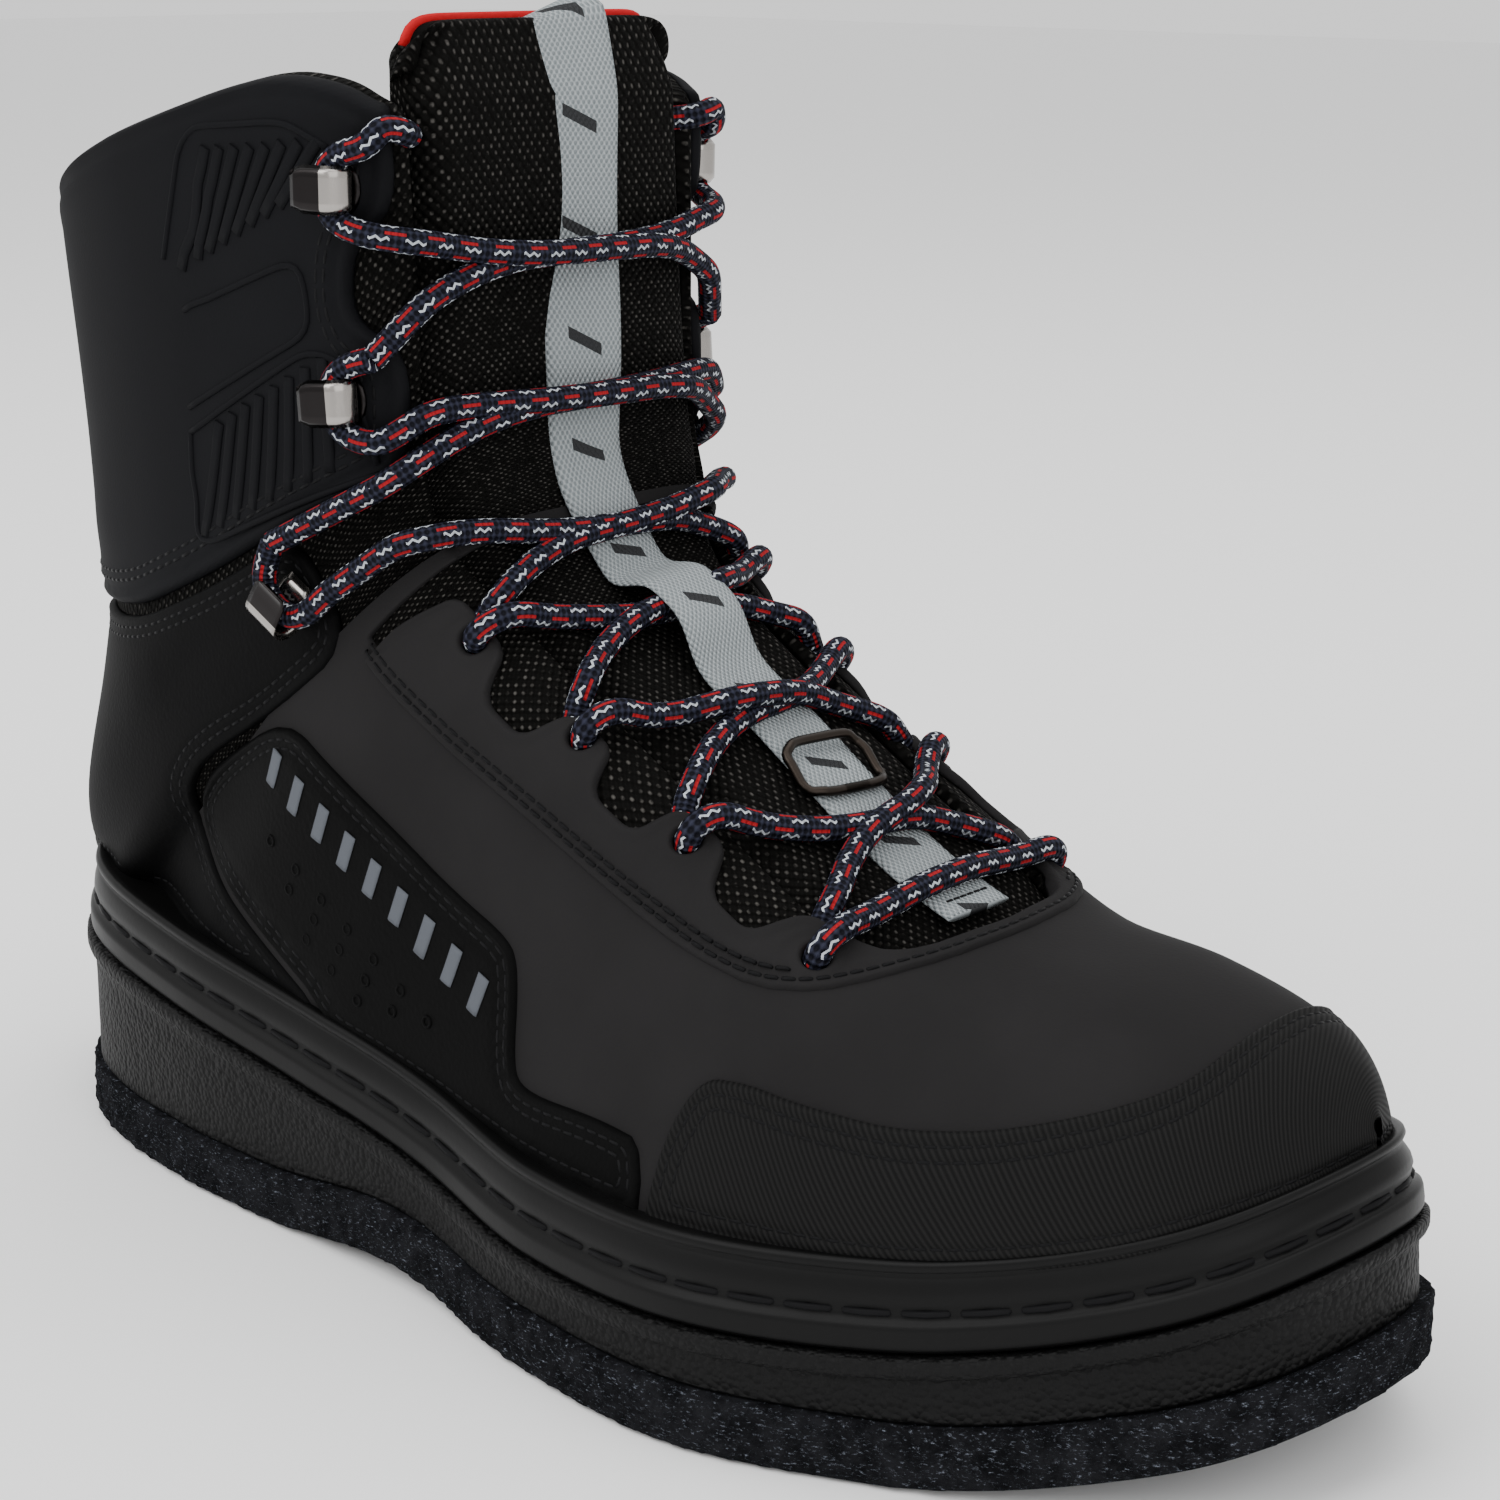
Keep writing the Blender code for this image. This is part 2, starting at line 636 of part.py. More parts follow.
def strap_line():
    """Middle of the strap and its outward directions: up the tongue, over its top and down behind."""
    half = STRAP_THICKNESS / 2 + GAP
    radius = TONGUE_THICKNESS / 2 + half
    rows = [(place, *row[len(row) // 2][:2]) for place, row in tongue_rows() if place >= STRAP_FROM]
    line = []
    for place, point, outward in rows:
        line.append((point + (half - tongue_depths(place, 0)[0]) * outward, outward))
    top, outward = line[-1]
    for turn in (0, 0.25, 0.5, 0.75, 1.0):
        angle = math.pi * turn
        away = Vector((0, 0, 1)) * math.sin(angle) + outward * math.cos(angle)
        middle = top - radius * outward + Vector((0, 0, STRAP_RISE))
        line.append((middle + away * radius, away))
    for place, point, outward in rows[-2:-2 - STRAP_BEHIND:-1]:
        line.append((point - (tongue_depths(place, 0)[1] + half) * outward, -outward))
    return line


def make_strap():
    """Webbing strap along the tongue, which folds over its top as a pull loop."""
    bm = bmesh.new()
    rows = []
    for point, away in strap_line():
        corners = []
        for side, out in ((-1, 1), (1, 1), (1, -1), (-1, -1)):
            offset = Vector((0, side * STRAP_WIDTH / 2, 0)) + away * out * STRAP_THICKNESS / 2
            corners.append(bm.verts.new(point + offset))
        rows.append(corners)
    for low, high in zip(rows, rows[1:]):
        skin(bm, low, high)
    bm.faces.new(rows[0])
    bm.faces.new(rows[-1])
    add_part("pull_strap", bm, STRAP)


def make_keeper():
    """Oblong ring that lies around the strap."""
    point, outward, along = surface_frame(KEEPER_PLACE, 0)
    bm = bmesh.new()
    loops = []
    for inset, depth in ((0, -0.5), (0, 0.5), (KEEPER_BAR, 0.5), (KEEPER_BAR, -0.5)):
        half_wide = KEEPER_WIDTH / 2 - inset
        half_long = KEEPER_LENGTH / 2 - inset
        loops.append([
            bm.verts.new((x * half_wide, y * half_long, depth * KEEPER_BAR))
            for x, y in ((-1, -1), (1, -1), (1, 1), (-1, 1))
        ])
    for low, high in zip(loops, loops[1:] + loops[:1]):
        skin(bm, low, high)
    lift = STRAP_THICKNESS + 2 * GAP - TONGUE_SINK + KEEPER_BAR / 2
    bm.transform(frame_matrix(point + lift * outward, along.cross(outward), along, outward))
    add_part("lace_keeper", bm, METAL)


def make_hooks():
    """Lace hooks bent from plate: a foot on the panel, a rise on the throat's side and a lip over it."""
    profile = [
        (0, 0), (HOOK_LENGTH, 0), (HOOK_LENGTH, HOOK_PLATE), (HOOK_PLATE, HOOK_PLATE),
        (HOOK_PLATE, HOOK_HEIGHT - HOOK_PLATE), (0.75 * HOOK_LENGTH, HOOK_HEIGHT - HOOK_PLATE),
        (0.75 * HOOK_LENGTH, HOOK_HEIGHT), (0, HOOK_HEIGHT),
    ]
    for name, place, around, tilt in HOOKS:
        for side, sign in (("lateral", 1), ("medial", -1)):
            point, outward, along = surface_frame(place, sign * around)
            away = outward.cross(along) * sign
            bm = bmesh.new()
            base = bm.faces.new([
                bm.verts.new((x - HOOK_LENGTH / 2, -HOOK_WIDTH / 2, z)) for x, z in profile
            ])
            grown = bmesh.ops.extrude_face_region(bm, geom=[base])["geom"]
            moved = [item for item in grown if isinstance(item, bmesh.types.BMVert)]
            bmesh.ops.translate(bm, verts=moved, vec=(0, HOOK_WIDTH, 0))
            lift = 2 * GAP + OVERLAY_THICKNESS + HOOK_CLEAR
            turn = Matrix.Rotation(math.radians(-tilt), 4, "Z")
            bm.transform(frame_matrix(point + lift * outward, away, along, outward) @ turn)
            add_part(name + "_" + side, bm, METAL)


def lace_run(start, end):
    """Tube over the throat between two places on the last, as a mesh with closed ends."""
    curve = bpy.data.curves.new("lace_run", "CURVE")
    curve.dimensions = "3D"
    curve.bevel_depth = LACE_RADIUS
    curve.bevel_resolution = 1
    curve.use_fill_caps = True
    spline = curve.splines.new("POLY")
    spline.points.add(LACE_STEPS)
    for k in range(LACE_STEPS + 1):
        t = k / LACE_STEPS
        place = start[0] + (end[0] - start[0]) * t
        around = start[1] + (end[1] - start[1]) * t
        point, outward, _ = surface_frame(place, around)
        spline.points[k].co = (*(point + LACE_LIFT * outward), 1)
    run = bpy.data.objects.new("lace_run", curve)
    cutters.objects.link(run)
    bpy.context.view_layer.update()
    found = bpy.data.meshes.new_from_object(run.evaluated_get(bpy.context.evaluated_depsgraph_get()))
    bpy.data.objects.remove(run, do_unlink=True)
    bm = bmesh.new()
    bm.from_mesh(found)
    bpy.data.meshes.remove(found)
    bmesh.ops.remove_doubles(bm, verts=bm.verts, dist=0.00001)
    return bm


def make_laces():
    """Lace as one bar at the lowest eyelets and a crossing between each pair of levels."""
    levels = [(place, around) for place, around in EYELETS]
    levels += [(place, around - LACE_SHORT) for _, place, around, _ in HOOKS]
    place, around = levels[0]
    around -= LACE_END
    add_part("lace_bar", lace_run((place, around), (place, -around)), LACE)
    for k, (low, high) in enumerate(zip(levels, levels[1:]), 1):
        start = (low[0] + LACE_RISE, low[1] - LACE_SHORT)
        end = (high[0] - LACE_FALL, high[1] - LACE_END)
        name = f"lace_cross_{k}"
        crossing = add_part(name, lace_run(start, (end[0], -end[1])), LACE)
        other = add_cutter(name + "_other", lace_run((start[0], -start[1]), end))
        cut(crossing, "UNION", other)


def clear_scene():
    for item in list(bpy.data.objects):
        bpy.data.objects.remove(item, do_unlink=True)


FELT = ((0.16, 0.17, 0.19), 0.95)
RUBBER = ((0.020, 0.020, 0.022), 0.75)
FOOTBED = ((0.05, 0.05, 0.05), 0.9)
LEATHER = ((0.045, 0.043, 0.046), 0.7)
PANEL = ((0.012, 0.012, 0.012), 0.6)
MOULDED = ((0.025, 0.026, 0.028), 0.6)
WEBBING = ((0.016, 0.015, 0.014), 0.85)
STRAP = ((0.33, 0.35, 0.36), 0.8)
METAL = ((0.35, 0.33, 0.31), 0.3, 1.0)
LACE = ((0.03, 0.03, 0.05), 0.7)

clear_scene()
boot = bpy.data.collections.new("wading_boot")
bpy.context.scene.collection.children.link(boot)
cutters = bpy.data.collections.new("cutters")
bpy.context.scene.collection.children.link(cutters)
origin = bpy.data.objects.new("heel_origin", None)
origin.location = (-HEEL_REST, 0, 0)
boot.objects.link(origin)

add_cutter("under_upper", side_prism(under_profile(above_seat(GAP))))
add_cutter("under_band", side_prism(under_profile(above_seat(BAND_HEIGHT + GAP))))
add_cutter("above_collar", side_prism(shares(COLLAR_LINE) + shares([(0.52, 1.4), (-0.2, 1.4)])))
add_cutter("throat", throat_solid())
add_cutter("eyelets_lateral", eyelet_solid(1))
add_cutter("eyelets_medial", eyelet_solid(-1))
make_sole()
make_upper()
make_overlays()
make_tongue()
make_strap()
make_keeper()
make_hooks()
make_laces()
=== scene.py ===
"""Looks of the wading boot: smooth skin, stitched panels, felt and rubber sole, woven tongue, lace and hooks.

The tables repeat those of the CAD model, so each piece lies where the frame's node lies. Lengths are in
metres, "place" counts the rows of RINGS from the toe to the collar, and "around" is half a ring's turn from
its ridge, positive on the lateral side.
"""

import math

import bmesh
import bpy
import numpy as np
from mathutils import Matrix, Vector, noise


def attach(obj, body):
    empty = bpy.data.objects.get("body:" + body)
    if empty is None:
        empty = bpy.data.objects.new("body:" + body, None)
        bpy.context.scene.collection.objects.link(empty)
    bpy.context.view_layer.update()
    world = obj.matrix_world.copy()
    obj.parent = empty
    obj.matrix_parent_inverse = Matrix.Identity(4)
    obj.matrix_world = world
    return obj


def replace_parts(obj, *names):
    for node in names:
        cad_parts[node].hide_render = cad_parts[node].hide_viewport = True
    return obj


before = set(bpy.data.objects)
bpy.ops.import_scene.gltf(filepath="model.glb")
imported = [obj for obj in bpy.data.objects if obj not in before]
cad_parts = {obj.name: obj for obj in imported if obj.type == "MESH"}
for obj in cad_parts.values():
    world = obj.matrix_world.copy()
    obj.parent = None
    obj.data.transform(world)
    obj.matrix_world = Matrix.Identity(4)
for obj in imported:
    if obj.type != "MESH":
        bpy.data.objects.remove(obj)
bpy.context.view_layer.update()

LENGTH = 0.312
BALL_WIDTH = 0.120
COLLAR_HEIGHT = 0.218
HEEL_REST = 0.045
FELT_THICKNESS = 0.0108
TOE_SPRING = 0.017
ARCH_RISE = 0.003
HEEL_BEVEL = 0.002
MIDSOLE_INSET = 0.0016
RIDGE_HEIGHT = 0.003
BAND_HEIGHT = 0.016
BAND_INSET = 0.0010
TOE_LEAN = 0.0035
TOE_START = 0.86
GAP = 0.0003
WALL = 0.0025
COLLAR_PAD = 0.0035
COLLAR_PAD_ROWS = 1.6
PANEL = 0.0012
LAST_TUCK = 0.006
EYELET_RADIUS = 0.0026
STRAP_WIDTH = 0.0168
STRAP_THICKNESS = 0.0014
LACE_RADIUS = 0.0023
TONGUE_AROUND = 0.30
TONGUE_TAPER = 0.65
TONGUE_FREE = 15.25
TONGUE_THICKNESS = 0.005
TONGUE_TO = 15.45
TONGUE_LEAN = 0.003
TONGUE_SINK = 0.0006
COLLAR = 15
MM = 0.001
PLACE_MM = 0.020
TOP_PLACE = 15.75
STAY_TOP = 0.0020
EYELET_CLEARANCE = 0.0042
RIM_CLEARANCE = 0.0085

OUTLINE = np.array([
    # along, lateral, medial
    (0.000, 0.000, 0.000), (0.026, 0.143, 0.158), (0.096, 0.319, 0.308), (0.224, 0.412, 0.353),
    (0.353, 0.432, 0.316), (0.465, 0.452, 0.296), (0.577, 0.522, 0.366), (0.689, 0.542, 0.461),
    (0.801, 0.444, 0.491), (0.897, 0.322, 0.411), (0.962, 0.214, 0.282), (1.000, -0.069, 0.069),
])
SEAT = np.array([
    # along, height
    (0.000, 0.188), (0.192, 0.170), (0.385, 0.133), (0.545, 0.099), (0.689, 0.099), (0.833, 0.112),
    (0.920, 0.145), (1.000, 0.199),
])
RING_COLUMNS = (
    "along", "rise", "ridge_x", "ridge_z", "low_lateral", "low_medial",
    "high_lateral", "high_medial", "centre", "belly", "low_round", "top_round",
)
RINGS = np.array([
    (0.970, 0.00, 0.966, 0.268, -0.069, 0.069, -0.069, 0.069, 0.069, 0.45, 3.0, 2.4),
    (0.957, 0.00, 0.948, 0.300, 0.130, 0.205, 0.100, 0.175, 0.065, 0.45, 3.6, 2.3),
    (0.917, 0.00, 0.906, 0.328, 0.247, 0.320, 0.220, 0.285, 0.055, 0.45, 4.5, 2.3),
    (0.840, 0.00, 0.836, 0.343, 0.362, 0.422, 0.335, 0.375, 0.040, 0.45, 5.0, 2.4),
    (0.756, 0.00, 0.760, 0.354, 0.450, 0.440, 0.400, 0.390, 0.020, 0.45, 5.5, 2.6),
    (0.667, 0.00, 0.698, 0.388, 0.498, 0.400, 0.415, 0.385, 0.010, 0.45, 6.0, 3.2),
    (0.564, 0.00, 0.632, 0.442, 0.475, 0.317, 0.390, 0.360, 0.000, 0.45, 6.0, 3.8),
    (0.442, 0.00, 0.560, 0.504, 0.408, 0.262, 0.375, 0.355, 0.000, 0.45, 6.0, 4.2),
    (0.314, 0.00, 0.503, 0.557, 0.385, 0.287, 0.372, 0.360, 0.000, 0.45, 6.0, 4.4),
    (0.186, 0.00, 0.472, 0.598, 0.352, 0.308, 0.370, 0.362, 0.000, 0.46, 5.5, 4.6),
    (0.085, 0.00, 0.456, 0.638, 0.258, 0.248, 0.368, 0.364, 0.000, 0.48, 4.5, 4.8),
    (0.036, 0.00, 0.449, 0.676, 0.318, 0.312, 0.368, 0.364, 0.000, 0.50, 2.3, 5.0),
    (0.014, 0.09, 0.443, 0.718, 0.318, 0.312, 0.370, 0.367, 0.000, 0.50, 2.2, 5.0),
    (0.039, 0.27, 0.437, 0.789, 0.312, 0.308, 0.360, 0.357, 0.000, 0.52, 2.1, 5.6),
    (0.037, 0.45, 0.432, 0.872, 0.325, 0.322, 0.358, 0.356, 0.000, 0.55, 2.1, 6.2),
    (0.019, 0.66, 0.428, 0.980, 0.335, 0.335, 0.358, 0.358, 0.000, 0.58, 2.1, 6.8),
    (0.004, 0.84, 0.424, 1.120, 0.340, 0.340, 0.360, 0.360, 0.000, 0.60, 2.1, 7.0),
])
THROAT = np.array([
    # place, around
    (4.20, 0.010), (4.25, 0.060), (4.40, 0.110), (4.70, 0.128), (5.50, 0.125), (7.00, 0.122),
    (8.50, 0.135), (9.50, 0.165), (10.50, 0.200), (12.00, 0.210), (13.50, 0.200), (15.00, 0.190),
    (16.00, 0.190),
])
COLLAR_LINE = np.array([
    (-0.200, 0.800), (-0.030, 0.828), (0.000, 0.840), (0.038, 0.868), (0.080, 0.899), (0.160, 0.936),
    (0.234, 0.965), (0.288, 0.986), (0.340, 1.000), (0.385, 0.994), (0.413, 0.975), (0.520, 0.930),
])
SHAFT_EDGE = [
    (-0.200, 0.480), (0.016, 0.494), (0.160, 0.512), (0.253, 0.567), (0.330, 0.624), (0.388, 0.664),
    (0.418, 0.690), (0.418, 0.784), (0.388, 0.808), (0.390, 0.862), (0.414, 0.894), (0.411, 0.985),
    (0.404, 1.200), (-0.200, 1.200),
]
COUNTER_EDGE = [
    (-0.200, 0.470), (0.016, 0.484), (0.162, 0.502), (0.256, 0.557), (0.333, 0.614), (0.353, 0.609),
    (0.386, 0.535), (0.322, 0.468), (0.244, 0.404), (0.216, 0.358), (0.220, 0.312), (0.290, 0.262),
    (0.372, 0.200), (0.400, 0.050), (-0.200, 0.050),
]
RAND_EDGE = [
    (0.326, 0.462), (0.250, 0.400), (0.222, 0.358), (0.226, 0.316), (0.294, 0.268), (0.378, 0.204),
    (0.406, 0.050), (0.651, 0.050), (0.651, 0.214), (0.608, 0.218), (0.548, 0.214), (0.534, 0.226),
    (0.530, 0.306), (0.522, 0.328), (0.476, 0.354), (0.430, 0.388), (0.378, 0.424),
]
TOE_CAP_EDGE = [
    (0.656, 0.050), (0.656, 0.208), (0.676, 0.276), (0.705, 0.280), (0.734, 0.273), (0.785, 0.266),
    (0.833, 0.274), (0.875, 0.290), (0.903, 0.306), (0.912, 0.330), (0.910, 0.450), (1.100, 0.450),
    (1.100, 0.050),
]
STAY_TABS = [
    # place, around: scalloped edge of the lace stay, with a tab at each eyelet
    (9.62, 0.385), (9.50, 0.300), (9.30, 0.205), (8.25, 0.190), (7.98, 0.285), (7.52, 0.285), (7.35, 0.180),
    (6.92, 0.175), (6.80, 0.265), (6.42, 0.260), (6.30, 0.155), (5.88, 0.152), (5.70, 0.235),
    (5.32, 0.232), (5.12, 0.138), (4.60, 0.132), (4.38, 0.105), (4.25, 0.060), (4.19, 0.002),
]
EYELETS = [(4.80, 0.195), (6.10, 0.200), (7.15, 0.205), (8.60, 0.230)]
TAB_EDGES = (0.132, 0.152, 0.178, 0.190)
OVER_SIDES = (1, -1, 1, 1, -1, -1)
LACE_TAIL = np.array([
    # place, around, height: the lace's end, which dips behind the tongue's edge
    (14.92, 0.262, 0.0046), (14.86, 0.222, 0.0036), (14.82, 0.200, 0.0010), (14.80, 0.184, -0.0040),
])
HOOKS = [("hook_ankle", 11.40, 0.440, 35), ("hook_mid", 13.00, 0.365, 8), ("hook_top", 14.60, 0.375, 0)]


CREASES = [
    # start, end in millimetres, depth, width
    ((112, -40, 128), (60, -42, 100), -0.9, 5.0), ((118, -40, 118), (66, -44, 88), 0.5, 5.0),
    ((40, -38, 112), (12, -20, 100), -0.7, 5.0), ((45, -40, 128), (14, -22, 122), 0.5, 6.0),
    ((112, 40, 128), (60, 42, 100), -0.9, 5.0), ((40, 38, 112), (12, 20, 100), -0.7, 5.0),
    ((205, -40, 62), (222, 10, 80), -0.6, 7.0), ((216, -38, 58), (232, 14, 76), 0.45, 6.0),
    ((190, -46, 56), (214, -20, 76), 0.4, 6.0),
]


# Curves and the last

def smooth(t):
    t = np.clip(t, 0.0, 1.0)
    return t * t * (3 - 2 * t)


def hermite(xs, ys, at):
    """Smooth curves through the points, for an array of places."""
    xs = np.asarray(xs, float)
    ys = np.asarray(ys, float)
    at = np.asarray(at, float)
    slopes = np.gradient(ys, xs, axis=0)
    k = np.clip(np.searchsorted(xs, at) - 1, 0, len(xs) - 2)
    span = xs[k + 1] - xs[k]
    t = (at - xs[k]) / span
    if ys.ndim > 1:
        t, span = t[..., None], span[..., None]
    return ((2 * t**3 - 3 * t**2 + 1) * ys[k] + (t**3 - 2 * t**2 + t) * span * slopes[k]
            + (-2 * t**3 + 3 * t**2) * ys[k + 1] + (t**3 - t**2) * span * slopes[k + 1])


def seat_height(x):
    along = np.clip(np.asarray(x) / LENGTH, 0.0, 1.0)
    return COLLAR_HEIGHT * hermite(SEAT[:, 0], SEAT[:, 1], along)


def ground_height(x):
    along = np.clip(np.asarray(x) / LENGTH, 0.0, 1.0)
    toe = np.maximum(0.0, (along - 0.79) / 0.21)
    heel = np.maximum(0.0, (0.045 - along) / 0.045)
    arch = np.where((along > 0.31) & (along < 0.54), np.sin(np.pi * (along - 0.31) / 0.23) ** 2, 0.0)
    return TOE_SPRING * toe**1.8 + HEEL_BEVEL * heel**2 + ARCH_RISE * arch


def turn_of(along):
    return np.arccos(1 - 2 * np.clip(along, 0.0, 1.0)) / np.pi


def last_points(place, around):
    """Points of the last for arrays of places (rows of RINGS) and distances around from the ridge."""
    place, around = np.broadcast_arrays(np.asarray(place, float), np.asarray(around, float))
    ring = hermite(np.arange(len(RINGS)), RINGS, place)
    col = {name: ring[..., k] for k, name in enumerate(RING_COLUMNS)}
    foot_x = LENGTH * col["along"]
    foot_z = COLLAR_HEIGHT * col["rise"] + seat_height(foot_x) - LAST_TUCK
    angle = (0.5 - np.abs(around)) * np.pi
    low = angle < 0
    power = 2 / np.where(low, col["low_round"], col["top_round"])
    width = np.maximum(np.cos(angle), 0.0) ** power
    reach = np.abs(np.sin(angle)) ** power
    belly = col["belly"]
    climb = np.where(low, belly * (1 - reach), belly + (1 - belly) * reach)
    share = smooth(climb / 0.8)
    lateral = around >= 0
    low_half = np.where(lateral, -col["low_lateral"], col["low_medial"])
    high_half = np.where(lateral, -col["high_lateral"], col["high_medial"])
    half = low_half + (high_half - low_half) * share
    x = foot_x + (LENGTH * col["ridge_x"] - foot_x) * climb
    y = BALL_WIDTH * (col["centre"] * (1 - width) + half * width)
    z = foot_z + (COLLAR_HEIGHT * col["ridge_z"] - foot_z) * climb
    return np.stack([x, y, z], -1)


def lengths_along(line):
    """Distance of each point from the first one, along the line."""
    return np.concatenate([[0], np.cumsum(np.linalg.norm(np.diff(line, axis=0), axis=1))])


def read_off(at, total, rows):
    """Rows between the given ones, at the given distances."""
    return np.stack([np.interp(at, total, column) for column in rows.T], 1)


def ring_faces(rows, count):
    """Quads between closed rings of points."""
    return [
        (i * count + j, i * count + (j + 1) % count, (i + 1) * count + (j + 1) % count, (i + 1) * count + j)
        for i in range(rows - 1) for j in range(count)
    ]


def unit(v):
    return v / np.maximum(np.linalg.norm(v, axis=-1, keepdims=True), 1e-12)


def frame_at(place, around, step=0.02):
    """Point, outward normal and direction towards higher places, as the CAD model has them."""
    point = last_points(place, around)
    along = last_points(place + step, around) - last_points(place - step, around)
    across = last_points(place, around + step) - last_points(place, around - step)
    return point, unit(np.cross(along, across)), unit(along)


def above(place, around, height):
    """Points at a height over the last."""
    point, out, _ = frame_at(place, around)
    return point + out * height[:, None]


def wall_at(place):
    return WALL + COLLAR_PAD * smooth((place - COLLAR + COLLAR_PAD_ROWS) / COLLAR_PAD_ROWS)


def columns(count, reach=1.0):
    """Distances around from -reach to reach, crowded where the rings run flat, so that steps are even."""
    arm = (np.arange(0, 0.88, 4.4 / count) ** 2.8) / math.pi
    half = np.unique(np.round(np.concatenate([arm, 0.5 - arm, 0.5 + arm, 1 - arm]), 5))
    half = np.unique(np.append(half[half < reach - 0.002], reach))
    filled = [half[:1]]
    for a, b in zip(half, half[1:]):
        more = int((b - a) * count / 1.5) + 1
        filled.append(a + (b - a) * np.arange(1, more + 1) / more)
    half = np.concatenate(filled)
    return np.concatenate([-half[:0:-1], half])


def ring_lengths(points, middle):
    """Distance along each ring from its ridge column, negative on the medial side."""
    steps = np.linalg.norm(np.diff(points, axis=1), axis=2)
    total = np.concatenate([np.zeros((len(points), 1)), np.cumsum(steps, axis=1)], axis=1)
    return total - total[:, middle:middle + 1]


def map_points(polygon):
    """Polygon of (place, around) as flat points in metres: place scaled, distance along the ring."""
    flat = []
    for place, around in polygon:
        reach = np.sign(around) * (np.abs(np.linspace(0, abs(around), 160) / max(abs(around), 1e-9)) ** 2.5)
        ring = last_points(place, reach * abs(around))
        length = np.linalg.norm(np.diff(ring, axis=0), axis=1).sum()
        flat.append((place * PLACE_MM, math.copysign(length, around)))
    return np.array(flat)


def round_corners(polygon, times=2, closed=True, share=0.22):
    """Cut the corners of a polygon again and again."""
    points = np.asarray(polygon, float)
    for _ in range(times):
        after = np.roll(points, -1, axis=0) if closed else points[1:]
        before = points if closed else points[:-1]
        cut = np.stack([before * (1 - share) + after * share, before * share + after * (1 - share)], 1)
        cut = cut.reshape(-1, points.shape[1])
        if not closed:
            cut = np.concatenate([points[:1], cut[1:-1], points[-1:]])
        points = cut
    return points


def polygon_distance(points, polygon):
    """Signed distance to a polygon's edge in the plane, positive inside."""
    shape = points.shape[:-1]
    p = points.reshape(-1, 2)
    best = np.full(len(p), 1e9)
    inside = np.zeros(len(p), bool)
    for a, b in zip(polygon, np.roll(polygon, -1, axis=0)):
        edge = b - a
        t = np.clip(((p - a) @ edge) / max(edge @ edge, 1e-18), 0, 1)
        best = np.minimum(best, np.linalg.norm(p - a - t[:, None] * edge, axis=1))
        spans = (a[1] > p[:, 1]) != (b[1] > p[:, 1])
        if abs(edge[1]) > 1e-12:
            inside ^= spans & (p[:, 0] < edge[0] * (p[:, 1] - a[1]) / edge[1] + a[0])
    return np.where(inside, best, -best).reshape(shape)


def soft_min(a, b, reach=0.003):
    share = np.clip(0.5 + 0.5 * (b - a) / reach, 0, 1)
    return b * (1 - share) + a * share - reach * share * (1 - share)


class Patch:
    """Grid on the last: points, normals and flat coordinates, from which clipped panels are made."""

    def __init__(self, first, last, rows, count, reach=1.0):
        self.places = np.linspace(first, last, rows)
        self.arounds = columns(count, reach)
        self.points = last_points(self.places[:, None], self.arounds[None, :])
        along = np.gradient(self.points, axis=0)
        if reach >= 1.0:
            ring = self.points[:, :-1]
            across = np.roll(ring, -1, axis=1) - np.roll(ring, 1, axis=1)
            across = np.concatenate([across, across[:, :1]], axis=1)
        else:
            across = np.gradient(self.points, axis=1)
        self.normals = unit(np.cross(along, across))
        self.lengths = ring_lengths(self.points, len(self.arounds) // 2)
        self.flat = np.stack([
            np.broadcast_to(self.places[:, None] * PLACE_MM, self.lengths.shape), self.lengths], -1)
        self.side = self.points[..., [0, 2]]

    def in_side(self, edge, rounds=2):
        outline = round_corners(np.array(edge) * (LENGTH, COLLAR_HEIGHT), rounds)
        return polygon_distance(self.side, outline)

    def below_collar(self):
        line = round_corners(COLLAR_LINE * (LENGTH, COLLAR_HEIGHT), 3, closed=False)
        around = [(line[-1][0], 1.0), (1.0, 1.0), (1.0, -1.0), (-1.0, -1.0), (-1.0, line[0][1])]
        return polygon_distance(self.side, np.concatenate([line, around]))

    def beside_throat(self):
        return -polygon_distance(self.flat, map_points(throat_edge()))

    def above_height(self, extra):
        return self.points[..., 2] - seat_height(self.points[..., 0]) - extra

    def around_holes(self, radius):
        """Distance from the nearest eyelet's edge."""
        best = np.full(self.points.shape[:2], 1.0)
        for place, around in EYELETS:
            for side in (1, -1):
                hole = last_points(place, side * around)
                best = np.minimum(best, np.linalg.norm(self.points - hole, axis=2) - radius)
        return best

    def opening(self):
        """Distance from the collar's and the throat's edge, rounded where they meet."""
        return soft_min(self.below_collar(), self.beside_throat())


def throat_edge():
    places = np.concatenate([np.linspace(4.2, 5, 12), np.linspace(5.3, 17, 40)])
    half = hermite(THROAT[:, 0], THROAT[:, 1], places)
    half = np.maximum(half, 0.002)
    right = list(zip(places, half))
    return right + [(p, -a) for p, a in reversed(right)]


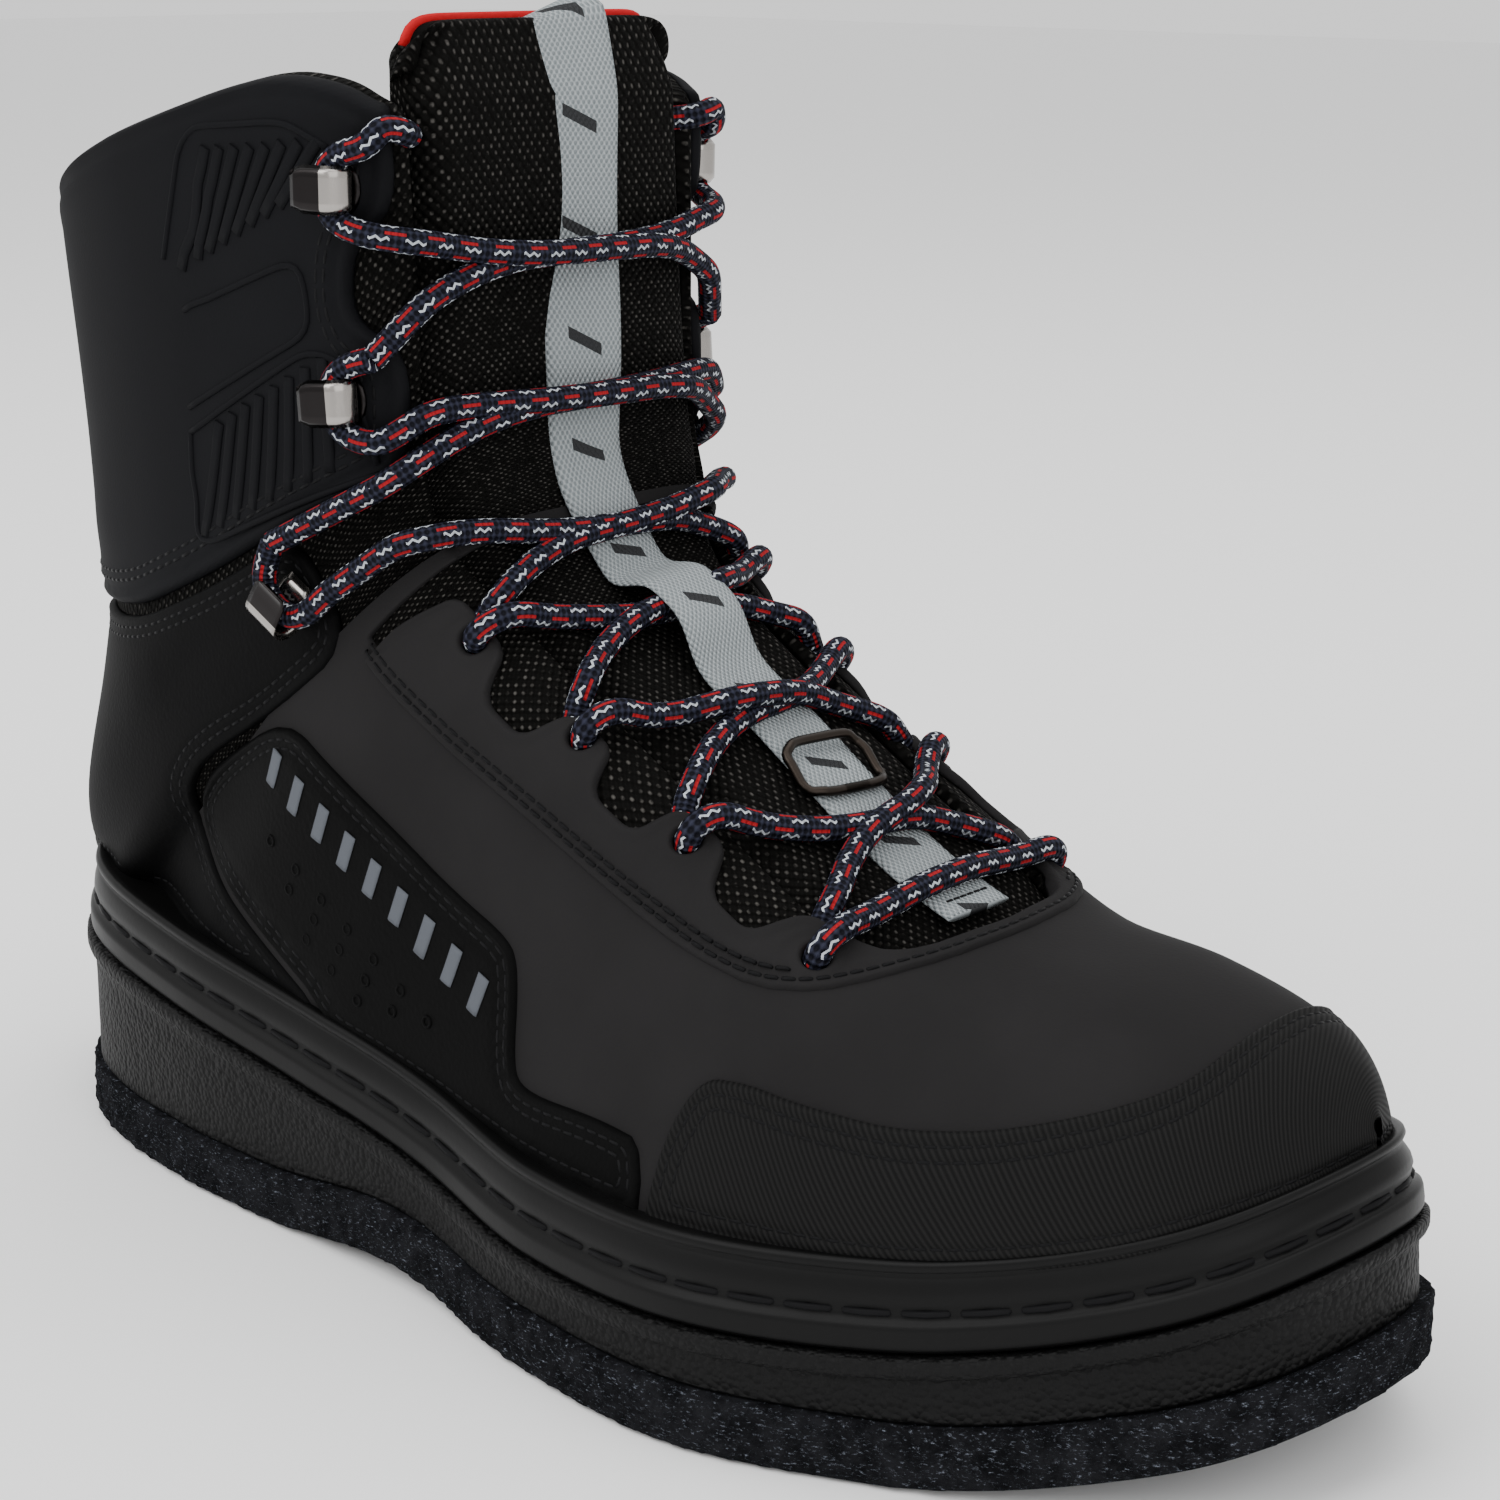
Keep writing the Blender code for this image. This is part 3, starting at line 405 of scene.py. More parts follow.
def split_level(rows, faces, level):
    """Cut triangles along a level of the first column. New rows lie on the level."""
    d = rows[:, 0] - level
    d[np.abs(d) < 2e-6] = 0.0
    rows[:, 0] = d + level
    corner = d[faces]
    crossing = (corner.max(1) > 0) & (corner.min(1) < 0)
    kept = [faces[~crossing]]
    made = []
    new_rows = []
    at_edge = {}
    count = len(rows)

    def middle(a, b):
        key = (a, b) if a < b else (b, a)
        if key not in at_edge:
            t = d[a] / (d[a] - d[b])
            row = rows[a] * (1 - t) + rows[b] * t
            row[0] = level
            at_edge[key] = count + len(new_rows)
            new_rows.append(row)
        return at_edge[key]

    for face in faces[crossing]:
        i, j, k = (int(v) for v in face)
        for _ in range(3):
            if d[i] * d[j] < 0 and d[i] * d[k] < 0:
                a, b = middle(i, j), middle(i, k)
                made += [(i, a, b), (a, j, k), (a, k, b)]
                break
            if d[i] == 0 and d[j] * d[k] < 0:
                a = middle(j, k)
                made += [(i, j, a), (i, a, k)]
                break
            i, j, k = j, k, i
    if new_rows:
        rows = np.concatenate([rows, np.array(new_rows)])
    kept.append(np.array(made, int).reshape(-1, 3))
    return rows, np.concatenate(kept)


def chains(rows, faces, level):
    """Lines of vertices along a level, as lists of row numbers."""
    on = np.abs(rows[:, 0] - level) < 1e-9
    links = {}
    for a, b in ((0, 1), (1, 2), (2, 0)):
        pair = faces[:, [a, b]]
        for i, j in pair[on[pair].all(1)]:
            links.setdefault(int(i), set()).add(int(j))
            links.setdefault(int(j), set()).add(int(i))
    lines = []
    while links:
        ends = [i for i, near in links.items() if len(near) == 1]
        at = ends[0] if ends else next(iter(links))
        line = [at]
        while links.get(at):
            after = links[at].pop()
            links[after].discard(at)
            if not links[at]:
                del links[at]
            line.append(after)
            at = after
        links.pop(at, None)
        if len(line) > 4:
            lines.append(line)
        links = {i: near for i, near in links.items() if near}
    return lines


def edge_curve(distance, radius):
    return np.sqrt(np.maximum(0.0, 1 - (1 - np.clip(distance / radius, 0, 1)) ** 2))


def mesh_object(name, points, faces, finish, uvs=None):
    mesh = bpy.data.meshes.new(name)
    shifted = np.asarray(points, float) - (HEEL_REST, 0, 0)
    mesh.from_pydata(shifted.tolist(), [], [list(map(int, f)) for f in faces])
    if uvs is not None:
        corners = np.empty(len(mesh.loops), int)
        mesh.loops.foreach_get("vertex_index", corners)
        layer = mesh.uv_layers.new(name="flat")
        layer.data.foreach_set("uv", np.asarray(uvs, float)[corners].ravel())
    bm = bmesh.new()
    bm.from_mesh(mesh)
    bmesh.ops.remove_doubles(bm, verts=bm.verts, dist=2e-6)
    bmesh.ops.dissolve_degenerate(bm, edges=bm.edges, dist=1e-7)
    loose = [v for v in bm.verts if not v.link_faces]
    bmesh.ops.delete(bm, geom=loose, context="VERTS")
    bm.to_mesh(mesh)
    bm.free()
    mesh.shade_smooth()
    made = bpy.data.objects.new(name, mesh)
    bpy.context.scene.collection.objects.link(made)
    shader, slot = finish
    mesh.materials.append(SHADERS[shader])
    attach(made, "root")
    return made


def uneven(points, scale):
    return np.array([noise.noise(Vector(p * scale)) for p in points])


def surface_wave(points):
    """Slow unevenness and soft creases that leather and foam show, in metres along the normal."""
    lift = np.zeros(len(points))
    for start, end, depth, width in CREASES:
        a, b = np.array(start) * MM, np.array(end) * MM
        t = np.clip(((points - a) @ (b - a)) / ((b - a) @ (b - a)), 0, 1)
        away = np.linalg.norm(points - a - t[:, None] * (b - a), axis=1)
        fade = np.sin(np.pi * np.clip(t, 0.02, 0.98)) ** 0.6
        lift += depth * MM * fade * np.exp(-(away / (width * MM)) ** 2)
    for freq, size in ((22.0, 0.25), (55.0, 0.10)):
        lift += size * MM * uneven(points, freq)
    return lift


def clipped(patch, distance, levels):
    """Triangles of a patch where distance > 0, cut along the levels, with one row of values per point."""
    rows_n, cols_n = distance.shape
    index = np.arange(rows_n * cols_n).reshape(rows_n, cols_n)
    a, b = index[:-1, :-1].ravel(), index[:-1, 1:].ravel()
    c, d = index[1:, 1:].ravel(), index[1:, :-1].ravel()
    faces = np.concatenate([np.stack([a, b, c], 1), np.stack([a, c, d], 1)])
    place = np.broadcast_to(patch.places[:, None], distance.shape)
    rows = np.concatenate([
        distance.reshape(-1, 1), patch.points.reshape(-1, 3), patch.normals.reshape(-1, 3),
        patch.opening().reshape(-1, 1), place.reshape(-1, 1), patch.flat.reshape(-1, 2),
    ], axis=1)
    faces = faces[rows[faces, 0].max(1) > -0.0005]
    for level in levels:
        rows, faces = split_level(rows, faces, level)
    faces = faces[rows[faces, 0].mean(1) > 0]
    used, faces = np.unique(faces, return_inverse=True)
    return rows[used], faces.reshape(-1, 3)


def panel(name, patch, distance, finish, top, under, edge=0.0009, stitches=(), grooves=()):
    """Closed panel on a patch where distance > 0. top and under are heights over the last's surface."""
    rows, faces = clipped(patch, distance, [0.0, 0.06 * edge, 0.25 * edge, 0.6 * edge, edge, *stitches])
    dist, points, normals = rows[:, 0], rows[:, 1:4], rows[:, 4:7]
    roll = wall_at(rows[:, 8]) / 2
    sag = -roll * (1 - edge_curve(rows[:, 7], roll))
    wave = surface_wave(points)
    height = under + (top - under) * edge_curve(dist, edge)
    for at, depth, width in grooves:
        height = height - depth * np.exp(-((dist - at) / width) ** 2)
    rim = dist < 1e-9
    outer = points + normals * (height + sag + wave)[:, None]
    inner = points + normals * (np.full(len(points), under) + sag + wave)[:, None]
    outer[rim] = inner[rim]
    solid = np.concatenate([faces[:, ::-1], faces + len(outer)])
    made = mesh_object(name, np.concatenate([outer, inner]), solid, finish,
                       uvs=np.concatenate([rows[:, 9:11]] * 2))
    return made, [(outer[line], normals[line]) for level in stitches for line in chains(rows, faces, level)]


def lining_panel(name, patch, distance):
    """Inner face of the wall, closed against the skin."""
    rows, faces = clipped(patch, distance, (0.0, 0.0002, 0.0006, 0.0012, 0.002))
    dist, points, normals = rows[:, 0], rows[:, 1:4], rows[:, 4:7]
    middle = -0.0012
    depth = wall_at(rows[:, 8]) + middle
    deep = middle - depth * edge_curve(dist, np.maximum(depth, 0.001))
    outer = points + normals * middle
    inner = points + normals * deep[:, None]
    inner[dist < 1e-9] = outer[dist < 1e-9]
    solid = np.concatenate([faces[:, ::-1], faces + len(outer)])
    return mesh_object(name, np.concatenate([outer, inner]), solid, ("lining", "upper_leather"))


# Materials

class Term:
    """A value in a material, with the usual operators."""

    def __init__(self, shader, socket):
        self.shader, self.socket = shader, socket

    def __add__(self, other):
        return self.shader.math("ADD", self, other)

    def __sub__(self, other):
        return self.shader.math("SUBTRACT", self, other)

    def __mul__(self, other):
        return self.shader.math("MULTIPLY", self, other)

    def __lt__(self, other):
        return self.shader.math("LESS_THAN", self, other)

    def __gt__(self, other):
        return self.shader.math("GREATER_THAN", self, other)

    def __abs__(self):
        return self.shader.math("ABSOLUTE", self)

    def fract(self):
        return self.shader.math("FRACT", self)

    def floor(self):
        return self.shader.math("FLOOR", self)

    def sine(self):
        return self.shader.math("SINE", self)

    def pingpong(self, scale):
        return self.shader.math("PINGPONG", self, scale)

    def wave(self, pitch):
        """Sine wave of the given length."""
        return (self * (2 * math.pi / pitch)).sine()

    def ramp(self, low, high):
        made = self.shader.node("MapRange", **{"From Min": low, "From Max": high})
        made.interpolation_type = "SMOOTHSTEP"
        self.shader.link(self, made.inputs["Value"])
        return Term(self.shader, made.outputs["Result"])


class Shader:
    """Small helper that builds one procedural material."""

    def __init__(self, name, color, roughness, **values):
        self.material = bpy.data.materials.new(name)
        self.material.use_nodes = True
        self.tree = self.material.node_tree
        self.shader = self.tree.nodes["Principled BSDF"]
        self.shader.inputs["Base Color"].default_value = (*color, 1)
        self.shader.inputs["Roughness"].default_value = roughness
        self.shader.inputs["Specular IOR Level"].default_value = 0.035
        for key, value in values.items():
            self.shader.inputs[key.replace("_", " ")].default_value = value
        self.coords = self.tree.nodes.new("ShaderNodeTexCoord")
        self.bump_end = None

    def node(self, kind, **settings):
        made = self.tree.nodes.new("ShaderNode" + kind)
        for key, value in settings.items():
            if key in made.inputs:
                made.inputs[key].default_value = value
            else:
                setattr(made, key, value)
        return made

    def link(self, source, target):
        self.tree.links.new(source.socket, target)

    def flat(self):
        """The piece's flat coordinates."""
        split = self.node("SeparateXYZ")
        self.link(Term(self, self.coords.outputs["UV"]), split.inputs[0])
        return Term(self, split.outputs[0]), Term(self, split.outputs[1])

    def texture(self, kind, output, stretch=None, **settings):
        made = self.node(kind, **settings)
        vector = Term(self, self.coords.outputs["Object"])
        if stretch:
            mapping = self.node("Mapping", Scale=stretch)
            self.link(vector, mapping.inputs["Vector"])
            vector = Term(self, mapping.outputs["Vector"])
        self.link(vector, made.inputs["Vector"])
        return Term(self, made.outputs[output])

    def noise(self, scale, detail=4.0, stretch=None, roughness=0.5):
        return self.texture("TexNoise", "Fac", stretch, Scale=scale, Detail=detail, Roughness=roughness)

    def cells(self, scale):
        return self.texture("TexVoronoi", "Distance", Scale=scale)

    def math(self, operation, *values):
        made = self.node("Math", operation=operation)
        for slot, value in zip(made.inputs, values):
            if isinstance(value, Term):
                self.link(value, slot)
            else:
                slot.default_value = value
        return Term(self, made.outputs[0])

    def mix(self, factor, a, b):
        made = self.node("Mix", data_type="RGBA")
        for slot, value in zip([s for s in made.inputs if s.type == "RGBA"], (a, b)):
            if isinstance(value, Term):
                self.link(value, slot)
            else:
                slot.default_value = (*value, 1)
        self.link(factor, made.inputs["Factor"])
        return Term(self, [s for s in made.outputs if s.type == "RGBA"][0])

    def color(self, source):
        self.link(source, self.shader.inputs["Base Color"])

    def rough(self, source, low, high):
        made = self.node("MapRange", **{"To Min": low, "To Max": high})
        self.link(source, made.inputs["Value"])
        self.link(Term(self, made.outputs["Result"]), self.shader.inputs["Roughness"])

    def bump(self, source, strength, distance):
        made = self.node("Bump", Strength=strength, Distance=distance)
        self.link(source, made.inputs["Height"])
        if self.bump_end is not None:
            self.link(self.bump_end, made.inputs["Normal"])
        self.bump_end = Term(self, made.outputs["Normal"])
        self.link(self.bump_end, self.shader.inputs["Normal"])


def leather(name, color, roughness, grain, depth, worn):
    s = Shader(name, color, roughness)
    slow = s.noise(28.0, 5.0)
    lighter = tuple(c * (1 + worn) for c in color)
    darker = tuple(c * (1 - 0.5 * worn) for c in color)
    s.color(s.mix(slow.ramp(0.3, 0.7), darker, lighter))
    s.rough(slow, roughness - 0.06, roughness + 0.08)
    s.bump(s.cells(grain * 0.9), 0.5, depth)
    s.bump(s.noise(grain, 3.0), 0.4, depth)
    return s


def weave(name, color, crown_highlight, pitch):
    """Coarse weave along the piece's flat coordinates, with painted highlights on the thread crowns."""
    s = Shader(name, color, 0.8)
    along, around = s.flat()
    checks = around.wave(pitch) * along.wave(pitch)
    speck = s.noise(700.0, 2.0)
    # painted highlight: the paler colour sits on the weave's raised crowns, broken up by noise
    s.color(s.mix(checks.ramp(0.25, 0.95) * speck.ramp(0.35, 0.7), color, crown_highlight))
    s.bump(checks, 0.75, pitch * 0.30)
    s.bump(speck, 0.2, 0.0002)
    return s


def toe_shader():
    s = Shader("toe_ribs", (0.010, 0.010, 0.010), 0.60)
    along, around = s.flat()
    ribs = (along * 1.3 + around + s.noise(35.0, 2.0) * 0.0016).wave(0.0016)
    s.bump(ribs, 0.35, 0.00025)
    s.bump(s.noise(1500.0, 2.0), 0.3, 0.00008)
    # painted shade and highlight: darker in the rib grooves, lighter on the rib crests
    s.color(s.mix(ribs.ramp(-1.0, 1.0), (0.0060, 0.0060, 0.0060), (0.0115, 0.0113, 0.0112)))
    return s


def band_shader():
    s = Shader("band_rubber", (0.0150, 0.0150, 0.0152), 0.50, Specular_IOR_Level=0.13)
    slow = s.noise(40.0)
    s.color(s.mix(slow, (0.0016, 0.0016, 0.0016), (0.0030, 0.0030, 0.0030)))
    s.rough(slow, 0.34, 0.52)
    s.bump(s.noise(900.0, 3.0), 0.25, 0.0001)
    return s


def pebble_shader():
    s = Shader("midsole_pebble", (0.012, 0.012, 0.012), 0.58, Specular_IOR_Level=0.14)
    s.bump(s.cells(850.0) * -1.0, 0.9, 0.0006)
    s.bump(s.noise(420.0), 0.5, 0.0004)
    s.color(s.mix(s.noise(60.0), (0.0016, 0.0016, 0.0017), (0.0034, 0.0034, 0.0035)))
    return s


def felt_shader():
    s = Shader("felt", (0.05, 0.05, 0.06), 0.98)
    tone = s.noise(190.0, 8.0, roughness=0.75)
    fibre = s.noise(900.0, 6.0, (1.0, 1.0, 2.6), 0.8)
    dark = s.mix(tone.ramp(0.35, 0.65), (0.0055, 0.0057, 0.0066), (0.019, 0.0195, 0.0225))
    s.color(s.mix(fibre.ramp(0.56, 0.70), dark, (0.30, 0.33, 0.40)))
    s.bump(fibre, 1.0, 0.0009)
    s.bump(tone, 0.8, 0.0012)
    return s


def webbing_shader():
    """Ribbed band with short slanted bars at even distances."""
    s = Shader("strap_webbing", (0.31, 0.34, 0.35), 0.80)
    u, v = s.flat()
    ribs = u.wave(0.0016) * v.wave(0.0011)
    # painted shade and highlight: the cloth is darker in the rib hollows and paler on the rib crowns; the slanted
    # bars below are the webbing's own dark pattern
    cloth_with_painted_shade = s.mix(ribs.ramp(-0.6, 0.6), (0.20, 0.225, 0.235), (0.37, 0.40, 0.41))
    bar = (u + v * 0.45).pingpong(0.010)
    s.color(s.mix((bar < 0.0011) * (abs(v) < 0.0036), cloth_with_painted_shade, (0.035, 0.036, 0.038)))
    s.bump(ribs, 0.8, 0.0004)
    s.bump(s.noise(900.0, 3.0), 0.2, 0.0002)
    return s


def lace_shader():
    """Round braid with white zigzag dashes and straight red ones; v counts stripes around the lace."""
    s = Shader("braided_lace", (0.012, 0.013, 0.022), 0.62)
    u, v = s.flat()
    zigzag = v + (u * (1 / 0.0008)).pingpong(1.0) * 0.42
    stripe = zigzag.floor()
    dash = (u * (1 / 0.0056) + s.math("MODULO", stripe * 0.371, 1.0)).fract()
    white = (dash < 0.56) * (abs(zigzag.fract() - 0.5) < 0.17) * ((stripe * 0.5).fract() < 0.25)
    red_dash = (u * (1 / 0.0068) + v.floor() * 0.43).fract()
    red = (red_dash < 0.50) * (abs(v.fract() - 0.5) < 0.22) * ((v.floor() * 0.5).fract() > 0.25)
    turns, ahead = v * math.pi, u * (2 * math.pi / 0.0022)
    braid = (ahead + turns).sine() * (ahead - turns).sine()
    # painted shade and highlight: the braid is darker in its grooves and paler on its strand crowns; the white and
    # red dashes are the lace's own pattern
    base = s.mix(braid.ramp(-0.5, 0.7), (0.006, 0.006, 0.009), (0.024, 0.026, 0.042))
    s.color(s.mix(white, s.mix(red, base, (0.30, 0.012, 0.016)), (0.48, 0.51, 0.55)))
    s.bump(braid, 0.8, 0.0005)
    return s


def metal(name, color, roughness, scratches=None):
    s = Shader(name, color, roughness, Metallic=1.0)
    if scratches:
        scale, stretch, low, high = scratches
        s.rough(s.noise(scale, 3.0, stretch), low, high)
    return s


def plain(name, color, roughness, grain=None):
    s = Shader(name, color, roughness)
    if grain:
        scale, detail, strength, depth = grain
        s.bump(s.noise(scale, detail), strength, depth)
    return s


def lining_shader():
    s = Shader("lining_knit", (0.022, 0.022, 0.023), 0.9)
    s.bump(s.cells(1300.0), 0.8, 0.0004)
    return s


SHADERS = {key: made.material for key, made in {
    "vamp": leather("vamp_nubuck", (0.0138, 0.0132, 0.0135), 0.68, 1600.0, 0.00006, 0.16),
    "panel": leather("black_panel", (0.0022, 0.0022, 0.0022), 0.58, 1100.0, 0.00010, 0.25),
    "counter": leather("counter_leather", (0.0022, 0.0022, 0.0023), 0.60, 1200.0, 0.00009, 0.25),
    "shaft": leather("shaft_mould", (0.0060, 0.0061, 0.0070), 0.64, 2200.0, 0.00004, 0.12),
    # mesh and tongue: the second colour is a painted highlight on the weave's crowns
    "mesh": weave("ballistic_mesh", (0.0036, 0.0034, 0.0031), (0.070, 0.066, 0.060), 0.0021),
    "tongue": weave("tongue_weave", (0.0036, 0.0034, 0.0031), (0.066, 0.062, 0.057), 0.0020),
    "toe": toe_shader(),
    "band": band_shader(),
    "pebble": pebble_shader(),
    "felt": felt_shader(),
    "strap": webbing_shader(),
    "lace": lace_shader(),
    "thread": plain("black_thread", (0.0075, 0.0075, 0.0080), 0.45),
    "nickel": metal("nickel", (0.33, 0.31, 0.29), 0.22, (300.0, (1, 6, 1), 0.15, 0.34)),
    # dark metal: the rivets' black nickel, also used as a painted dark reflection on the nickel hooks' lips
    "dark_metal_and_painted_lip_reflection": metal("black_nickel_and_painted_lip_reflection", (0.020, 0.018, 0.018), 0.25),
    "bronze": metal("dark_bronze", (0.030, 0.024, 0.020), 0.35, (400.0, None, 0.25, 0.5)),
    "lining": lining_shader(),
    "red": plain("red_trim", (0.42, 0.012, 0.016), 0.7, (900.0, 3.0, 0.5, 0.0003)),
    "grey": plain("grey_print", (0.085, 0.092, 0.105), 0.55, (1200.0, 2.0, 0.2, 0.0001)),
}.items()}


class Pile:
    """Small parts gathered for one mesh."""

    def __init__(self):
        self.points, self.faces, self.flats, self.count = [], [], [], 0

    def add(self, points, faces, flat=None):
        self.points.append(points)
        self.faces += [tuple(v + self.count for v in face) for face in faces]
        if flat is not None:
            self.flats.append(flat)
        self.count += len(points)

    def mesh(self, name, finish):
        flat = np.concatenate(self.flats) if self.flats else None
        return mesh_object(name, np.concatenate(self.points), self.faces, finish, uvs=flat)


def sweep(line, normals, profile, closed_ends=True):
    """Points and faces of a profile carried along a line: profile rows are (across, out)."""
    line = np.asarray(line)
    tangents = unit(np.gradient(line, axis=0))
    normals = unit(normals - (normals * tangents).sum(1)[:, None] * tangents)
    across = np.cross(tangents, normals)
    count = len(profile)
    points = np.concatenate([
        p + a * profile[:, :1] + n * profile[:, 1:2] for p, a, n in zip(line, across, normals)])
    faces = [(a, d, c, b) for a, b, c, d in ring_faces(len(line), count)]
    if closed_ends:
        faces.append(tuple(range(count)))
        faces.append(tuple(len(points) - count + j for j in reversed(range(count))))
    return points, faces


def ellipse(width, height, count=8):
    turns = np.arange(count) * 2 * np.pi / count
    return np.stack([0.5 * width * np.cos(turns), 0.5 * height * np.sin(turns)], 1)


def resample(line, normals, spacing):
    """The line and its normals at even steps, and its length."""
    total = lengths_along(line)
    at = np.linspace(0, total[-1], max(2, int(round(total[-1] / spacing)) + 1))
    return read_off(at, total, line), unit(read_off(at, total, normals)), total[-1]


def smooth_line(line, times=3):
    line = np.array(line)
    for _ in range(times):
        line[1:-1] = 0.25 * line[:-2] + 0.5 * line[1:-1] + 0.25 * line[2:]
    return line


def sew(name, seams, slot, pitch=0.0029, length=0.0023, width=0.0007, height=0.0005):
    """Stitches as small rods that dip at both ends, along seam lines."""
    sewn = Pile()
    profile = ellipse(width, height, 6)
    dip = np.array([-height, 0.0, 0.15 * height, 0.0, -height]) - 0.0001
    for line, normals in seams:
        line, turned, total = resample(smooth_line(line), smooth_line(normals), pitch / 4)
        if total < 2 * pitch:
            continue
        where = np.linspace(0, total, len(line))
        for k in range(int(total / pitch)):
            at = (k + 0.5) * pitch + length * np.array([-0.5, -0.42, 0.0, 0.42, 0.5])
            out = unit(read_off(at, where, turned))
            sewn.add(*sweep(read_off(at, where, line) + out * dip[:, None], out, profile))
    sewn.mesh(name, ("thread", slot))


GRID_PLACES = np.linspace(0, 16, 241)
GRID_AROUNDS = columns(100)
GRID_POINTS = last_points(GRID_PLACES[:, None], GRID_AROUNDS[None, :])


def find(x, z, side):
    """(place, around) of the last's point at x, z in side view: side 1 is lateral, -1 medial."""
    use = np.where(GRID_AROUNDS * side > 0.03)[0]
    points = GRID_POINTS[:, use]
    gap = np.hypot(points[..., 0] - x, points[..., 2] - z)
    i, j = np.unravel_index(np.argmin(gap), gap.shape)
    i, j = np.clip(i, 1, len(GRID_PLACES) - 2), np.clip(j, 1, len(use) - 2)
    best = (GRID_PLACES[i], GRID_AROUNDS[use[j]])
    here = points[i, j]
    for di, dj in ((1, 1), (1, -1), (-1, 1), (-1, -1)):
        along, across = points[i + di, j] - here, points[i, j + dj] - here
        matrix = np.array([[along[0], across[0]], [along[2], across[2]]])
        if abs(np.linalg.det(matrix)) < 1e-12:
            continue
        u, v = np.linalg.solve(matrix, np.array([x - here[0], z - here[2]]))
        if -0.02 <= u <= 1.02 and -0.02 <= v <= 1.02:
            step = GRID_AROUNDS[use[j + dj]] - GRID_AROUNDS[use[j]]
            return GRID_PLACES[i] + u * di * (GRID_PLACES[1] - GRID_PLACES[0]), GRID_AROUNDS[use[j]] + v * step
    return best


def on_side(path, side, lift, spacing=0.002):
    """Line over the surface through (x, z) points in millimetres of the side view."""
    path = np.asarray(path, float) * MM
    total = lengths_along(path)
    at = np.linspace(0, total[-1], max(3, int(total[-1] / spacing) + 1))
    found = np.array([find(x, z, side) for x, z in read_off(at, total, path)])
    point, out, _ = frame_at(found[:, 0], found[:, 1])
    return point + out * (lift + surface_wave(point))[:, None], out


# Sole

def plan_outline(inset, toe_inset, stations):
    along = (1 - np.cos(np.pi * np.arange(stations + 1) / stations)) / 2
    turns = turn_of(OUTLINE[:, 0])
    lateral = BALL_WIDTH * hermite(turns, OUTLINE[:, 1], turn_of(along))
    medial = BALL_WIDTH * hermite(turns, OUTLINE[:, 2], turn_of(along))
    loop = np.concatenate([
        np.stack([LENGTH * along, -lateral], 1), np.stack([LENGTH * along, medial], 1)[-2:0:-1]])
    ahead = unit(np.roll(loop, -1, axis=0) - np.roll(loop, 1, axis=0))
    more = toe_inset * smooth((loop[:, 0] / LENGTH - TOE_START) / (1 - TOE_START))
    return loop + (inset + more)[:, None] * np.stack([-ahead[:, 1], ahead[:, 0]], 1)


def even_loop(loop, count):
    """The same loop with even steps, from its heel point."""
    closed = np.concatenate([loop, loop[:1]])
    total = lengths_along(closed)
    return read_off(np.linspace(0, total[-1], count, endpoint=False), total, closed)


def sole_piece(name, levels, finish, count=520, stations=240, rough=0.0, rough_scale=500.0):
    """Smooth layer of the sole. Each level: inset, toe inset, height function."""
    rows = []
    for inset, toe_inset, height in levels:
        flat = even_loop(plan_outline(inset, toe_inset, stations), count)
        rows.append(np.concatenate([flat, height(flat[:, 0])[:, None]], 1))
    rows = np.array(rows)
    if rough:
        middle = rows[1:-1]
        moved = uneven(middle.reshape(-1, 3), rough_scale)
        moved += 0.6 * uneven(middle.reshape(-1, 3), rough_scale * 2.7)
        ahead = unit(np.roll(middle, -1, axis=1) - np.roll(middle, 1, axis=1))
        out = np.stack([ahead[..., 1], -ahead[..., 0], np.zeros(ahead.shape[:2])], -1)
        rows[1:-1] = middle + out * (rough * moved.reshape(middle.shape[:2]) - 0.4 * rough)[..., None]
    faces = ring_faces(len(rows), count)
    for base, flip in ((0, True), ((len(rows) - 1) * count, False)):
        for k in range(count // 2):
            quad = (base + k, base + k + 1, base + (count - k - 1) % count, base + (count - k) % count)
            quad = tuple(dict.fromkeys(quad))
            if len(quad) > 2:
                faces.append(quad[::-1] if flip else quad)
    return mesh_object(name, rows.reshape(-1, 3), faces, finish), rows


def ground(extra):
    return lambda x: ground_height(x) + extra


def seat(extra):
    return lambda x: seat_height(x) + extra


def between(low, high, share):
    return lambda x: low(x) * (1 - share) + high(x) * share


